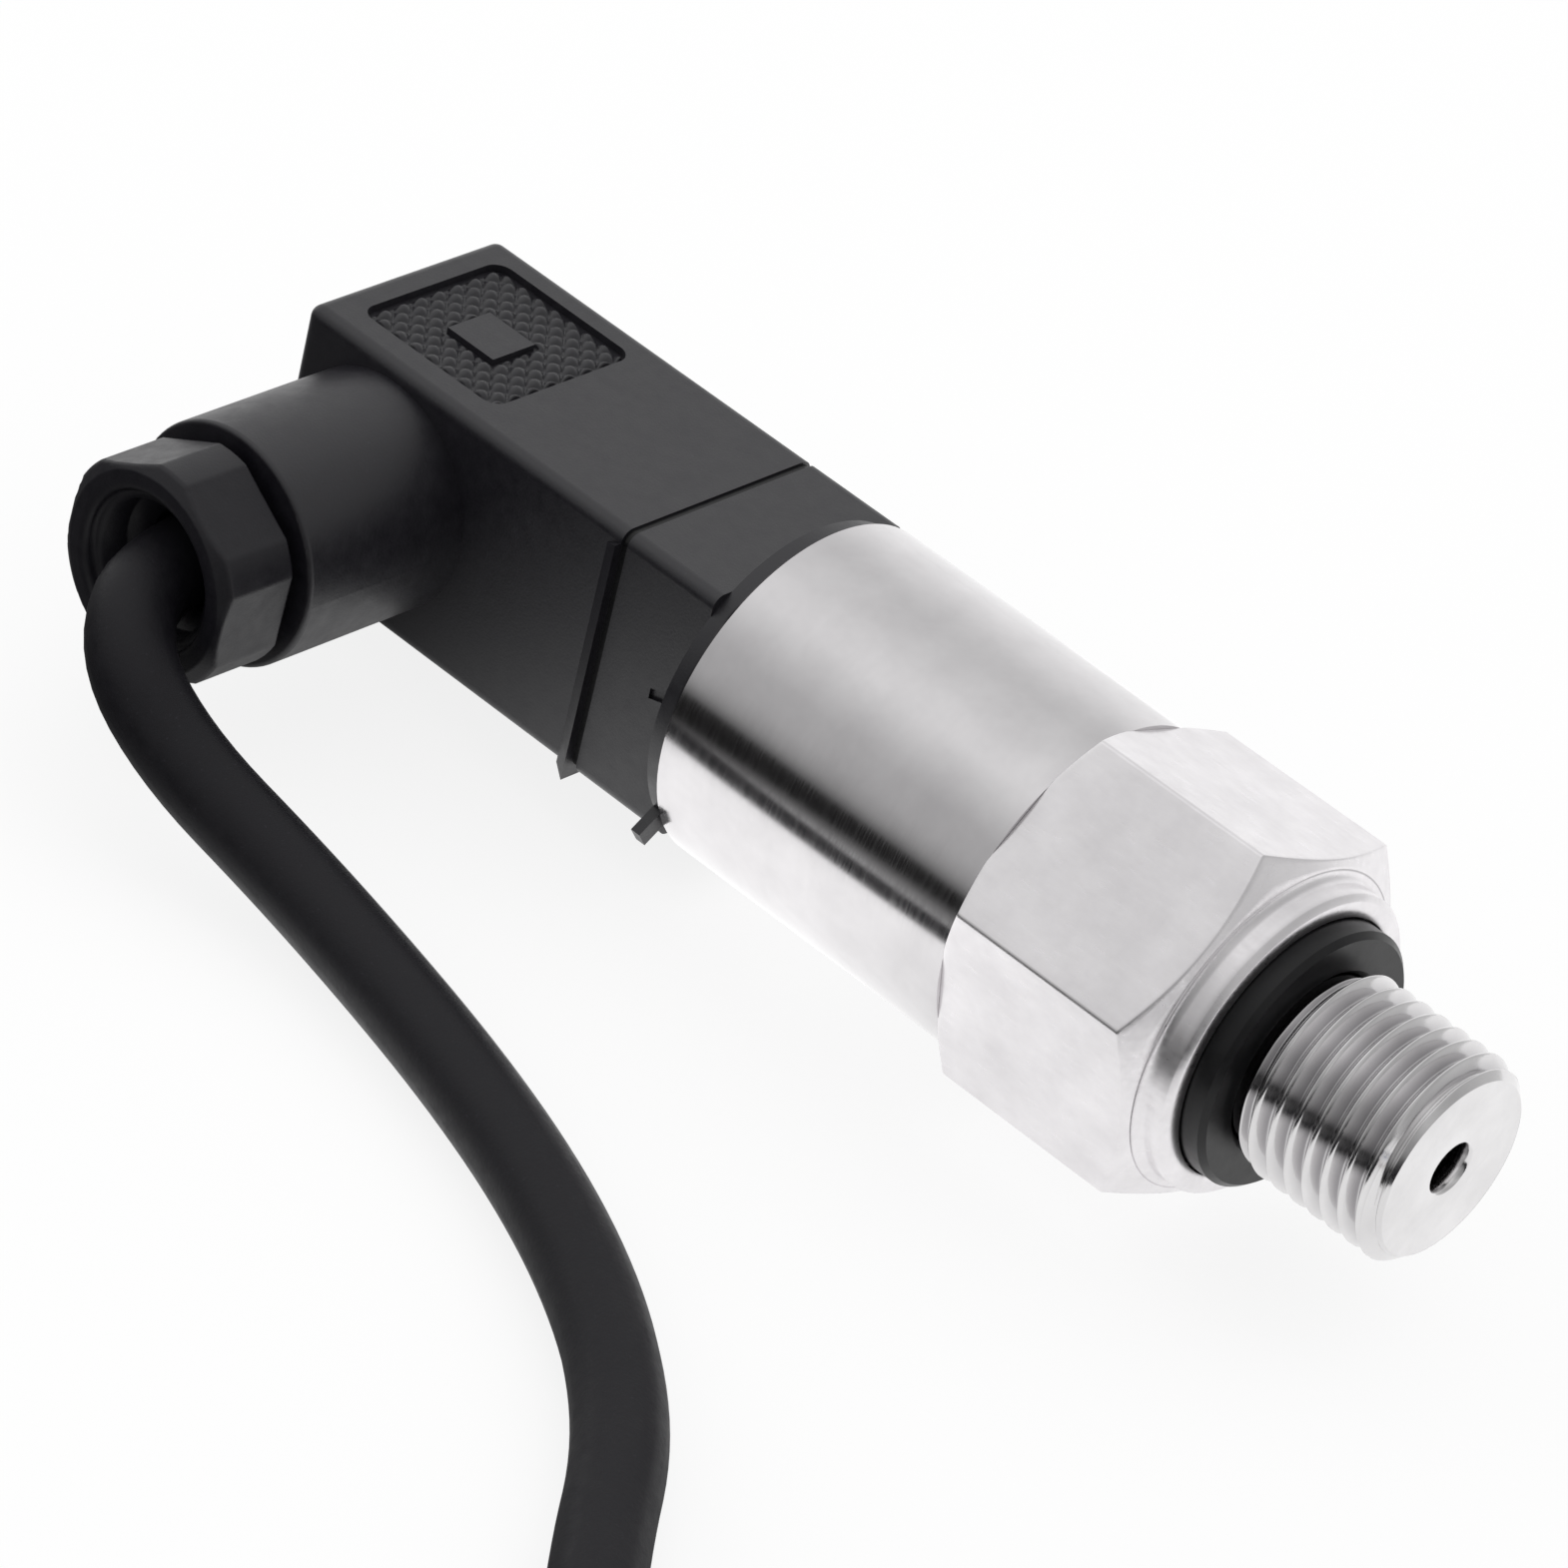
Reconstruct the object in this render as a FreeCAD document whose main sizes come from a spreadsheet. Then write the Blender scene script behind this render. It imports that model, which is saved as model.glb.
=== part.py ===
"""Pressure transmitter: a steel case with a parallel-threaded process connection at one end
and a right-angle plug with a cable gland at the other.  Millimetres.

X runs along the process axis, positive towards the thread's tip, and is 0 at the sealing face.
-Y is the way the cable leaves the plug, and +Z is the plug's grip-pad side.
"""
import FreeCAD, Part
import math
import os
import re
import Sketcher

Vec = FreeCAD.Vector
doc = FreeCAD.newDocument("PressureTransmitter")

# ---------------------------------------------------------------- driving dimensions
DIMENSIONS = {
    # process connection
    "thread_radius": 6.5785, "stud_length": 12.5, "tip_bevel": 0.88, "crest_bevel": 0.4,
    "relief_radius": 5.6, "relief_length": 2.2, "port_radius": 1.6,
    "collar_radius": 9.87, "collar_length": 1.9, "collar_bevel": 0.3,
    "groove_radius": 8.5, "groove_depth": 0.9,
    "hex_inset": 0.245, "hex_length": 14.2, "hex_turn": 17.15,
    "hex_front_radius": 10.5, "hex_rear_step": 0.155, "hex_bevel_slope": 0.57,
    "spigot_play": 0.045, "spigot_length": 4.5,
    "pocket_wall": 1.4, "pocket_depth": 11.4,
    # seal ring in the collar's face
    "ring_gap": 0.1, "ring_proud": 1.6, "ring_bevel": 0.35,
    # sensing parts
    "cell_play": 0.2, "cell_thick": 6.0, "cell_ring_radius": 6.4, "cell_ring_section": 0.7,
    "recess_depth": 0.3, "recess_inset": 1.4, "seal_play": 0.01,
    "clamp_ring_play": 0.05, "clamp_ring_bore": 5.5, "clamp_ring_thick": 3.0,
    "spacer_play": 0.2, "spacer_wall": 1.5, "spacer_length": 2.4,
    "board_play": 0.745, "board_thick": 1.6,
    "chip_width": 6.0, "chip_length": 5.0, "chip_height": 1.6,
    "trimmer_size": 3.2, "trimmer_height": 2.2, "trimmer_inset": 2.9,
    "lead_radius": 0.3, "lead_spread": 3.6,
    # case
    "case_radius": 11.245, "case_wall": 1.0, "case_length": 22.8, "case_edge": 0.25,
    # connector base
    "base_spigot_length": 5.4,
    "base_groove_depth": 1.0, "base_groove_width": 1.5, "base_groove_place": 2.2,
    "base_ring_section": 0.5, "flange_step": 0.545, "flange_thick": 1.1, "base_length": 7.0,
    "key_proud": 1.9, "key_root": 0.6, "key_width": 1.2, "key_thick": 0.7, "key_turn": 36.0,
    "half_width": 7.93, "half_height": 8.48, "edge_round": 0.8,
    "dimple_place": 4.0, "dimple_drop": 0.4, "dimple_length": 1.1, "dimple_height": 0.7,
    "dimple_slant": 0.3, "dimple_depth": 0.25,
    "insert_radius": 2.2, "insert_length": 7.0,
    "blade_width": 2.6, "blade_thick": 0.6, "blade_offset": 4.2, "blade_reach": 5.6,
    "blade_tail": 1.6, "earth_extra": 1.2,
    # flat gasket between base and plug
    "gasket_thick": 0.5, "gasket_inset": 0.15, "gasket_margin": 2.0,
    # plug housing
    "plug_length": 26.9, "plug_wall": 1.6, "end_wall": 3.2,
    "lip_width": 1.0, "lip_proud": 0.5,
    "pad_start": 2.1, "pad_length": 11.6, "pad_half_width": 5.815, "pad_shift": 0.185,
    "pad_depth": 0.5, "pad_corner": 1.1,
    "plate_length": 3.9, "plate_half_width": 1.75, "plate_height": 0.45, "plate_shift": -0.26,
    # cable boss and gland
    "boss_radius": 7.5, "boss_setback": 0.35, "boss_reach": 20.2, "boss_edge": 0.3,
    "gland_bore_radius": 5.35, "gland_bore_depth": 9.2, "cable_hole_radius": 3.1,
    "nut_shank_radius": 5.28, "nut_shank_length": 4.9, "nut_gap": 0.9, "nut_bore_radius": 3.0,
    "nut_flats": 13.1, "nut_corner_radius": 7.0, "nut_length": 5.0, "nut_turn": 30.0,
    "nut_bevel": 0.7, "nut_bevel_length": 0.42, "nut_mouth_radius": 5.0, "nut_lip": 0.6,
    "nut_throat_radius": 4.3, "nut_throat_depth": 2.4, "nut_mouth_depth": 3.2,
    "washer_radius": 5.2, "washer_bore": 2.9, "washer_thick": 0.8,
    "grommet_radius": 5.25, "grommet_bore": 2.68,
    # contact carrier inside the plug
    "carrier_gap": 0.15, "carrier_length": 12.0, "carrier_setback": 0.6,
    "socket_width": 3.6, "socket_thick": 1.6, "socket_length": 9.0, "socket_play": 0.05,
    "socket_floor": 1.0,
    "terminal_radius": 1.1, "terminal_length": 2.2,
    # retaining screw
    "screw_radius": 1.25, "screw_play": 0.08, "screw_head_radius": 2.75, "screw_head_height": 1.5,
    "screw_slot_width": 0.7, "screw_slot_depth": 0.7, "screw_engaged": 4.5,
    "screw_tip_bevel": 0.4,
    "counterbore_radius": 3.1, "counterbore_depth": 2.1, "seal_thick": 0.6,
    "seal_radius": 2.7, "seal_bore": 1.35, "carrier_screw_hole": 1.7,
    # cable
    "cord_radius": 2.65, "cord_start": 21.0, "sheath_end": 5.4, "core_radius": 0.55,
    "core_spread": 1.3, "core_straight": 2.4, "core_bend": 1.2, "earth_core_shift": 1.0,
    "earth_core_drop": 0.5, "coil_x": 65.1, "coil_y": -56.8, "coil_mean_radius": 29.2, "coil_columns": 4.0,
    "coil_layers": 2.0, "coil_edge": 2.2,
    "ferrule_sleeve_radius": 0.95, "ferrule_sleeve_length": 4.0, "ferrule_radius": 0.6,
    "ferrule_length": 8.0,
    # how far a cutting block reaches past what it cuts
    "cutter_margin": 1.0,
}

# Places along the axes, each worked out from the dimensions above.
PLACES = {
    "case_bore": "case_radius - case_wall",
    "spigot_radius": "case_bore - spigot_play",
    "pocket_radius": "spigot_radius - pocket_wall",
    "cell_radius": "pocket_radius - cell_play",
    "spacer_radius": "spigot_radius - spacer_play",
    "base_groove_radius": "spigot_radius - base_groove_depth",
    "flange_radius": "case_radius - flange_step",
    "hex_rear_radius": "case_radius + hex_rear_step",
    "hex_rear": "-(collar_length + hex_length)",
    "hex_half": "case_radius - hex_inset",
    "hex_corner": "hex_half / cos(30 * 1 deg)",
    "spigot_rear": "hex_rear - spigot_length",
    "pocket_floor": "spigot_rear + pocket_depth",
    "cell_front": "pocket_floor - 2 * cell_ring_section",
    "cell_rear": "cell_front - cell_thick",
    "clamp_rear": "cell_rear - clamp_ring_thick",
    "board_front": "spigot_rear - spacer_length",
    "board_rear": "board_front - board_thick",
    "board_radius": "case_bore - board_play",
    "case_rear": "hex_rear - case_length",
    "base_front": "case_rear - flange_thick",
    "base_rear": "base_front - base_length",
    "base_inner": "case_rear + base_spigot_length",
    "dimple_x": "base_rear + dimple_place",
    "plug_mouth": "base_rear - gasket_thick",
    "plug_end": "plug_mouth - plug_length",
    "lip_top": "half_height - edge_round",
    "cavity_end": "plug_end + end_wall",
    "boss_x": "plug_end + boss_radius + boss_setback",
    "gland_seat": "-boss_reach + gland_bore_depth",
    "nut_rear": "-boss_reach - nut_gap",
    "nut_front": "nut_rear - nut_length",
    "shank_end": "nut_rear + nut_shank_length",
    "washer_inner": "shank_end + washer_thick",
    "carrier_front": "plug_mouth - carrier_setback",
    "carrier_rear": "carrier_front - carrier_length",
    "pad_end": "plug_end + pad_start",
    "pad_middle": "pad_end + pad_length / 2",
    "counterbore_floor": "plug_end + counterbore_depth",
    "head_seat": "counterbore_floor - seal_thick",
    "screw_tip": "base_rear + screw_engaged",
    "resting_height": "-hex_corner * cos((30 - hex_turn) * 1 deg)",
    "coil_outer": "coil_mean_radius + coil_columns * cord_radius",
    "coil_inner": "coil_mean_radius - coil_columns * cord_radius",
}

sheet = doc.addObject("Spreadsheet::Sheet", "Dims")
for row, (alias, number) in enumerate(DIMENSIONS.items(), 1):
    sheet.set("A%d" % row, alias)
    sheet.set("B%d" % row, str(number))
    sheet.setAlias("B%d" % row, alias)
doc.recompute()


def bound(formula):
    """The formula with each name written as a cell of the sheet, and each place written out."""
    def swap(match):
        word = match.group(0)
        if word in DIMENSIONS:
            return "Dims." + word
        if word in PLACES:
            return "(" + bound(PLACES[word]) + ")"
        return word
    return re.sub(r"[a-z][a-z_]+", swap, str(formula))


def value(formula):
    """What the formula comes to."""
    return float(sheet.evalExpression(bound(formula)))


# ---------------------------------------------------------------- modelling helpers
SUBPARTS = []

# how near an edge's bounds come to a place they lie on
NEAR = 0.01


def finished(thing, label):
    """Give a sub-part its own label and list it for export."""
    thing.Label = label
    SUBPARTS.append(thing)
    return thing


def new_body(label):
    body = doc.addObject("PartDesign::Body", label)
    return finished(body, label)


def origin_item(body, role):
    return [item for item in body.Origin.OriginFeatures if item.Role == role][0]


def outline(body, plane, points, offset="0", turn=None):
    """A closed sketch on an origin plane whose corners are bound to the sheet.

    Each point is two formulas.  offset moves the sketch along the plane's normal, and turn
    rotates it about that normal, in degrees.
    """
    sketch = body.newObject("Sketcher::SketchObject", body.Label + "_outline")
    sketch.AttachmentSupport = [(origin_item(body, plane), "")]
    sketch.MapMode = "FlatFace"
    sketch.AttachmentOffset = FreeCAD.Placement(Vec(0, 0, value(offset)), FreeCAD.Rotation(Vec(0, 0, 1), 0))
    sketch.setExpression("AttachmentOffset.Base.z", bound(offset))
    if turn is not None:
        sketch.AttachmentOffset = FreeCAD.Placement(Vec(0, 0, value(offset)),
                                                    FreeCAD.Rotation(Vec(0, 0, 1), value(turn)))
        sketch.setExpression("AttachmentOffset.Rotation.Angle", bound(turn))
    corners = [Vec(value(a), value(b), 0) for a, b in points]
    count = len(corners)
    for i in range(count):
        sketch.addGeometry(Part.LineSegment(corners[i], corners[(i + 1) % count]))
    for i in range(count):
        sketch.addConstraint(Sketcher.Constraint("Coincident", i, 2, (i + 1) % count, 1))
    for i, (a, b) in enumerate(points):
        for kind, formula, number in (("DistanceX", a, corners[i].x), ("DistanceY", b, corners[i].y)):
            index = sketch.addConstraint(Sketcher.Constraint(kind, -1, 1, i, 1, number))
            sketch.setExpression("Constraints[%d]" % index, bound(formula))
    return sketch


def rectangle(x_low, x_high, y_low, y_high):
    return [(x_low, y_low), (x_high, y_low), (x_high, y_high), (x_low, y_high)]


def round_outline(body, plane, centre, radius, offset="0"):
    """A circle sketch bound to the sheet; centre is two formulas."""
    sketch = body.newObject("Sketcher::SketchObject", body.Label + "_circle")
    sketch.AttachmentSupport = [(origin_item(body, plane), "")]
    sketch.MapMode = "FlatFace"
    sketch.AttachmentOffset = FreeCAD.Placement(Vec(0, 0, value(offset)), FreeCAD.Rotation())
    sketch.setExpression("AttachmentOffset.Base.z", bound(offset))
    middle = Vec(value(centre[0]), value(centre[1]), 0)
    sketch.addGeometry(Part.Circle(middle, Vec(0, 0, 1), value(radius)))
    for kind, formula, number in (("DistanceX", centre[0], middle.x), ("DistanceY", centre[1], middle.y)):
        index = sketch.addConstraint(Sketcher.Constraint(kind, -1, 1, 0, 3, number))
        sketch.setExpression("Constraints[%d]" % index, bound(formula))
    index = sketch.addConstraint(Sketcher.Constraint("Radius", 0, value(radius)))
    sketch.setExpression("Constraints[%d]" % index, bound(radius))
    return sketch


def spin(body, points, axis, plane="XY_Plane"):
    """Revolve an outline about its own first ("X") or second ("Y") axis."""
    sketch = outline(body, plane, points)
    feature = body.newObject("PartDesign::Revolution", body.Label + "_revolve")
    feature.Profile = sketch
    feature.ReferenceAxis = (sketch, ["H_Axis" if axis == "X" else "V_Axis"])
    feature.Angle = 360
    doc.recompute()
    return feature


def extrude(body, sketch, length, cut=False, backwards=False):
    """Pad or pocket a sketch by a length formula."""
    kind = "PartDesign::Pocket" if cut else "PartDesign::Pad"
    feature = body.newObject(kind, body.Label + ("_pocket" if cut else "_pad"))
    feature.Profile = sketch
    feature.Reversed = backwards
    feature.setExpression("Length", bound(length))
    doc.recompute()
    return feature


def six_flats(body, plane, axis_role, apothem, reach, turn, low, high):
    """Mill six flats round an axis between two places."""
    sketch = outline(body, plane, rectangle(apothem, reach, "-(%s)" % reach, reach), low, turn)
    before = body.Shape.Volume
    pocket = extrude(body, sketch, "(%s) - (%s)" % (high, low), cut=True, backwards=True)
    if body.Shape.Volume > before - 1e-6:
        raise RuntimeError("the flats of %s cut nothing" % body.Label)
    pattern = body.newObject("PartDesign::PolarPattern", body.Label + "_flats")
    pattern.Originals = [pocket]
    pattern.Axis = (origin_item(body, axis_role), [""])
    pattern.Angle = 360
    pattern.Occurrences = 6
    body.Tip = pattern
    doc.recompute()
    return pattern


def soften(body, feature, names, radius):
    """Round the named edges of a feature."""
    fillet = body.newObject("PartDesign::Fillet", body.Label + "_round")
    fillet.Base = (feature, names)
    fillet.setExpression("Radius", bound(radius))
    doc.recompute()
    return fillet


def edges_where(feature, test):
    """Names of the feature's edges for which test(edge) holds."""
    return ["Edge%d" % i for i, edge in enumerate(feature.Shape.Edges, 1) if test(edge)]


def runs_along(edge, axis):
    """True for a straight edge parallel to axis."""
    if len(edge.Vertexes) != 2:
        return False
    span = edge.Vertexes[1].Point - edge.Vertexes[0].Point
    return span.cross(axis).Length < 1e-6 and abs(span.Length - edge.Length) < 1e-6


def place(thing, x=None, y=None, z=None):
    """Bind a sub-part's position to the sheet."""
    for letter, formula in (("x", x), ("y", y), ("z", z)):
        if formula is not None:
            thing.setExpression("Placement.Base." + letter, bound(formula))


def along_x(thing):
    thing.Placement = FreeCAD.Placement(Vec(), FreeCAD.Rotation(Vec(0, 1, 0), 90))


def primitive(kind, label, **sizes):
    """A Part primitive whose sizes are formulas of the sheet."""
    thing = doc.addObject("Part::" + kind, label)
    for name, formula in sizes.items():
        thing.setExpression(name, bound(formula))
    return thing


def drilled(label, outer, *holes):
    """outer with holes cut out of it, as a sub-part."""
    for i, hole in enumerate(holes):
        cut = doc.addObject("Part::Cut", "%s_cut%d" % (label, i))
        cut.Base = outer
        cut.Tool = hole
        outer = cut
    return finished(outer, label)


def rounded_path(points):
    """Straight runs joined by tangent arcs: each as large as 0.45 of its shorter run allows."""
    points = [Vec(*p) for p in points]
    edges = []
    radii = []
    start = points[0]
    for before, corner, after in zip(points, points[1:], points[2:]):
        into = (corner - before).normalize()
        out = (after - corner).normalize()
        half_turn = into.getAngle(out) / 2
        trim = 0.45 * min((corner - before).Length, (after - corner).Length)
        radius = trim / math.tan(half_turn)
        radii.append(radius)
        first = corner - into * trim
        last = corner + out * trim
        centre = first + (out - into * into.dot(out)).normalize() * radius
        middle = centre + (corner - centre).normalize() * radius
        edges.append(Part.LineSegment(start, first).toShape())
        edges.append(Part.Arc(first, middle, last).toShape())
        start = last
    edges.append(Part.LineSegment(start, points[-1]).toShape())
    return Part.Wire(edges), radii


def tube(label, points, radius):
    """A round tube along a rounded path, as a sub-part."""
    path, radii = rounded_path(points)
    heading = Vec(*points[1]) - Vec(*points[0])
    section = Part.Wire(Part.makeCircle(radius, Vec(*points[0]), heading))
    shape = path.makePipeShell([section], True, True)
    expected = math.pi * radius ** 2 * path.Length
    if abs(shape.Volume / expected - 1) > 0.01:
        raise RuntimeError("%s: volume %.1f, expected %.1f" % (label, shape.Volume, expected))
    thing = doc.addObject("Part::Feature", label)
    thing.Shape = shape
    return finished(thing, label), path.Length, radii


# ---------------------------------------------------------------- process connection
def process_fitting():
    """One turned and milled piece: threaded stud, grooved collar, hexagon, weld spigot."""
    body = new_body("process_fitting")
    spin(body, [
        ("stud_length", "port_radius"),
        ("stud_length", "thread_radius - tip_bevel"),
        ("stud_length - tip_bevel", "thread_radius"),
        ("relief_length + crest_bevel", "thread_radius"),
        ("relief_length", "relief_radius + crest_bevel"),
        ("relief_length", "relief_radius"),
        ("-groove_depth", "relief_radius"),
        ("-groove_depth", "groove_radius"),
        ("0", "groove_radius"),
        ("0", "collar_radius - collar_bevel"),
        ("-collar_bevel", "collar_radius"),
        ("-collar_length + (hex_corner - hex_front_radius) * hex_bevel_slope", "collar_radius"),
        ("-collar_length + (hex_corner - hex_front_radius) * hex_bevel_slope", "hex_front_radius"),
        ("-collar_length", "hex_corner"),
        ("hex_rear + (hex_corner - hex_rear_radius) * hex_bevel_slope", "hex_corner"),
        ("hex_rear", "hex_rear_radius"),
        ("hex_rear", "spigot_radius"),
        ("spigot_rear", "spigot_radius"),
        ("spigot_rear", "pocket_radius"),
        ("pocket_floor", "pocket_radius"),
        ("pocket_floor", "port_radius"),
    ], "X")
    # flat 0 faces half a sixth of a turn past the corner that hex_turn places
    six_flats(body, "YZ_Plane", "X_Axis", "hex_half", "hex_corner + cutter_margin",
              "180 - hex_turn + 30", "hex_rear", "0")


def profile_seal_ring():
    """Elastomer ring held in the collar's face groove, standing proud of the face."""
    body = new_body("profile_seal_ring")
    spin(body, [
        ("-groove_depth", "relief_radius + ring_gap"),
        ("-groove_depth", "groove_radius - ring_gap"),
        ("ring_proud - ring_bevel", "groove_radius - ring_gap"),
        ("ring_proud", "groove_radius - ring_gap - ring_bevel"),
        ("ring_proud", "relief_radius + ring_gap + ring_bevel"),
        ("ring_proud - ring_bevel", "relief_radius + ring_gap"),
    ], "X")


def ring(label, outer, inner, low, high):
    """A plain ring round the process axis."""
    body = new_body(label)
    spin(body, rectangle(low, high, inner, outer), "X")
    return body


def sensor_cell():
    """Round ceramic measuring cell with a shallow diaphragm recess on its pressure side."""
    body = new_body("sensor_cell")
    spin(body, [
        ("cell_rear", "0"), ("cell_front - recess_depth", "0"),
        ("cell_front - recess_depth", "cell_ring_radius - recess_inset"),
        ("cell_front", "cell_ring_radius - recess_inset"), ("cell_front", "cell_radius"),
        ("cell_rear", "cell_radius"),
    ], "X")


def o_ring(label, place_x, radius, section):
    thing = primitive("Torus", label, Radius1=radius, Radius2=section)
    along_x(thing)
    place(thing, x=place_x)
    return finished(thing, label)


def circuit_board():
    body = new_body("circuit_board")
    spin(body, rectangle("board_rear", "board_front", "0", "board_radius"), "X")


def box(label, x, y, z, length, width, height):
    """A block by its low corner and sizes."""
    thing = primitive("Box", label, Length=length, Width=width, Height=height)
    place(thing, x, y, z)
    return thing


def board_components():
    chip = box("amplifier_chip", "board_rear - chip_height", "-chip_width / 2", "-chip_length / 2",
               "chip_height", "chip_width", "chip_length")
    finished(chip, "amplifier_chip")
    for name, side in (("zero_trimmer", "1"), ("span_trimmer", "-1")):
        trimmer = box(name, "board_rear - trimmer_height",
                      "%s * (board_radius - trimmer_inset) - trimmer_size / 2" % side, "-trimmer_size / 2",
                      "trimmer_height", "trimmer_size", "trimmer_size")
        finished(trimmer, name)


def cell_leads():
    """Four pins from the back of the cell to the board, one node."""
    pins = []
    for i in range(4):
        pin = primitive("Cylinder", "lead_%d" % i, Radius="lead_radius", Height="cell_rear - board_front")
        along_x(pin)
        place(pin, "board_front", "lead_spread * cos((45 + 90 * %d) * 1 deg)" % i,
              "lead_spread * sin((45 + 90 * %d) * 1 deg)" % i)
        pins.append(pin)
    group = doc.addObject("Part::Compound", "cell_leads")
    group.Links = pins
    finished(group, "cell_leads")


def case_tube():
    """Thin-walled tube welded to the fitting's spigot, its rear rim slightly eased."""
    body = new_body("case_tube")
    spin(body, [
        ("hex_rear", "case_bore"), ("hex_rear", "case_radius"),
        ("case_rear + case_edge", "case_radius"), ("case_rear", "case_radius - case_edge"),
        ("case_rear", "case_bore"),
    ], "X")


# ---------------------------------------------------------------- connector base
# the four contacts: name, side along Y, side along Z
CONTACTS = (("signal_blade", 0, 1), ("supply_blade", 0, -1), ("common_blade", 1, 0), ("earth_blade", -1, 0))


def blade_box(label, side_y, side_z, grow="0",
              low="base_rear - blade_reach", high="base_inner + blade_tail"):
    """The block that a contact blade fills between two places, grown all round its section."""
    if side_y:
        width = "blade_thick"
        height = "blade_width"
    else:
        width = "blade_width"
        height = "blade_thick"
    centre_y = "%d * blade_offset" % side_y
    centre_z = "%d * blade_offset" % side_z
    return box(label, low, "%s - (%s) / 2 - (%s)" % (centre_y, width, grow),
               "%s - (%s) / 2 - (%s)" % (centre_z, height, grow),
               "(%s) - (%s)" % (high, low), "(%s) + 2 * (%s)" % (width, grow),
               "(%s) + 2 * (%s)" % (height, grow))


def connector_base():
    """Moulded base: spigot with O-ring groove, round flange with a key, rectangular block."""
    body = new_body("connector_base")
    sketch = outline(body, "YZ_Plane", rectangle("-half_width", "half_width", "-half_height", "half_height"),
                     "base_rear")
    block = extrude(body, sketch, "base_length")
    soften(body, block, edges_where(block, lambda e: runs_along(e, Vec(1, 0, 0))), "edge_round")
    spin(body, [
        ("base_front", "0"), ("base_front", "flange_radius"), ("case_rear", "flange_radius"),
        ("case_rear", "spigot_radius"),
        ("case_rear + base_groove_place", "spigot_radius"),
        ("case_rear + base_groove_place", "base_groove_radius"),
        ("case_rear + base_groove_place + base_groove_width", "base_groove_radius"),
        ("case_rear + base_groove_place + base_groove_width", "spigot_radius"),
        ("base_inner", "spigot_radius"), ("base_inner", "0"),
    ], "X")
    key = outline(body, "YZ_Plane", rectangle("-flange_radius - key_proud", "key_root - flange_radius",
                                              "-key_width / 2", "key_width / 2"), "base_front", "key_turn")
    extrude(body, key, "key_thick")
    dimple = outline(body, "XZ_Plane", [
        ("dimple_x", "-dimple_drop"), ("dimple_x + dimple_length", "dimple_slant - dimple_drop"),
        ("dimple_x + dimple_length", "dimple_slant + dimple_height - dimple_drop"),
        ("dimple_x", "dimple_height - dimple_drop"),
    ], "half_width")
    extrude(body, dimple, "dimple_depth", cut=True)
    insert = round_outline(body, "YZ_Plane", ("0", "0"), "insert_radius", "base_rear")
    extrude(body, insert, "insert_length", cut=True, backwards=True)
    for name, side_y, side_z in CONTACTS:
        if side_y:
            half = ("blade_thick / 2", "blade_width / 2")
        else:
            half = ("blade_width / 2", "blade_thick / 2")
        slot = outline(body, "YZ_Plane", rectangle(
            "%d * blade_offset - %s" % (side_y, half[0]), "%d * blade_offset + %s" % (side_y, half[0]),
            "%d * blade_offset - %s" % (side_z, half[1]), "%d * blade_offset + %s" % (side_z, half[1])),
            "base_rear")
        extrude(body, slot, "base_inner - base_rear", cut=True, backwards=True)


def contact_blades():
    for name, side_y, side_z in CONTACTS:
        extra = " - earth_extra" if name == "earth_blade" else ""
        finished(blade_box(name, side_y, side_z, low="base_rear - blade_reach" + extra), name)


def screw_insert():
    """Threaded brass bush moulded into the base for the retaining screw."""
    body = new_body("screw_insert")
    spin(body, rectangle("base_rear", "base_rear + insert_length",
                         "screw_radius + screw_play", "insert_radius"), "X")


def plug_gasket():
    """Flat profile gasket: outer shape a little inside the mouth, with holes for contacts and screw."""
    body = new_body("plug_gasket")
    sketch = outline(body, "YZ_Plane", rectangle(
        "-half_width + gasket_inset", "half_width - gasket_inset",
        "-half_height + gasket_inset", "half_height - gasket_inset"), "plug_mouth")
    sheet_pad = extrude(body, sketch, "gasket_thick")
    soften(body, sheet_pad, edges_where(sheet_pad, lambda e: runs_along(e, Vec(1, 0, 0))), "edge_round")
    hole = outline(body, "YZ_Plane", rectangle(
        "-blade_offset - gasket_margin", "blade_offset + gasket_margin",
        "-blade_offset - gasket_margin", "blade_offset + gasket_margin"), "plug_mouth")
    extrude(body, hole, "gasket_thick", cut=True, backwards=True)


# ---------------------------------------------------------------- plug
def plug_housing():
    """Moulded right-angle housing: closed box with a round cable boss on its side."""
    body = new_body("plug_housing")
    sketch = outline(body, "YZ_Plane", rectangle("-half_width", "half_width", "-half_height", "half_height"),
                     "plug_end")
    block = extrude(body, sketch, "plug_length")
    end = value("plug_end")
    soften(body, block, edges_where(
        block, lambda e: runs_along(e, Vec(1, 0, 0)) or e.BoundBox.XMax < end + NEAR), "edge_round")
    flare_mouth(body)
    return body


def flare_mouth(body):
    """A lip that flares out towards the mouth along both flanks and the underside."""
    lip = outline(body, "YZ_Plane", [
        ("-half_width - lip_proud", "-half_height - lip_proud"),
        ("half_width + lip_proud", "-half_height - lip_proud"),
        ("half_width + lip_proud", "lip_top"), ("half_width - plug_wall", "lip_top"),
        ("half_width - plug_wall", "plug_wall - half_height"),
        ("plug_wall - half_width", "plug_wall - half_height"),
        ("plug_wall - half_width", "lip_top"), ("-half_width - lip_proud", "lip_top"),
    ], "plug_mouth")
    flare = extrude(body, lip, "lip_width", backwards=True)
    flare.setExpression("TaperAngle", bound("-atan(lip_proud / lip_width)"))
    doc.recompute()


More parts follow.
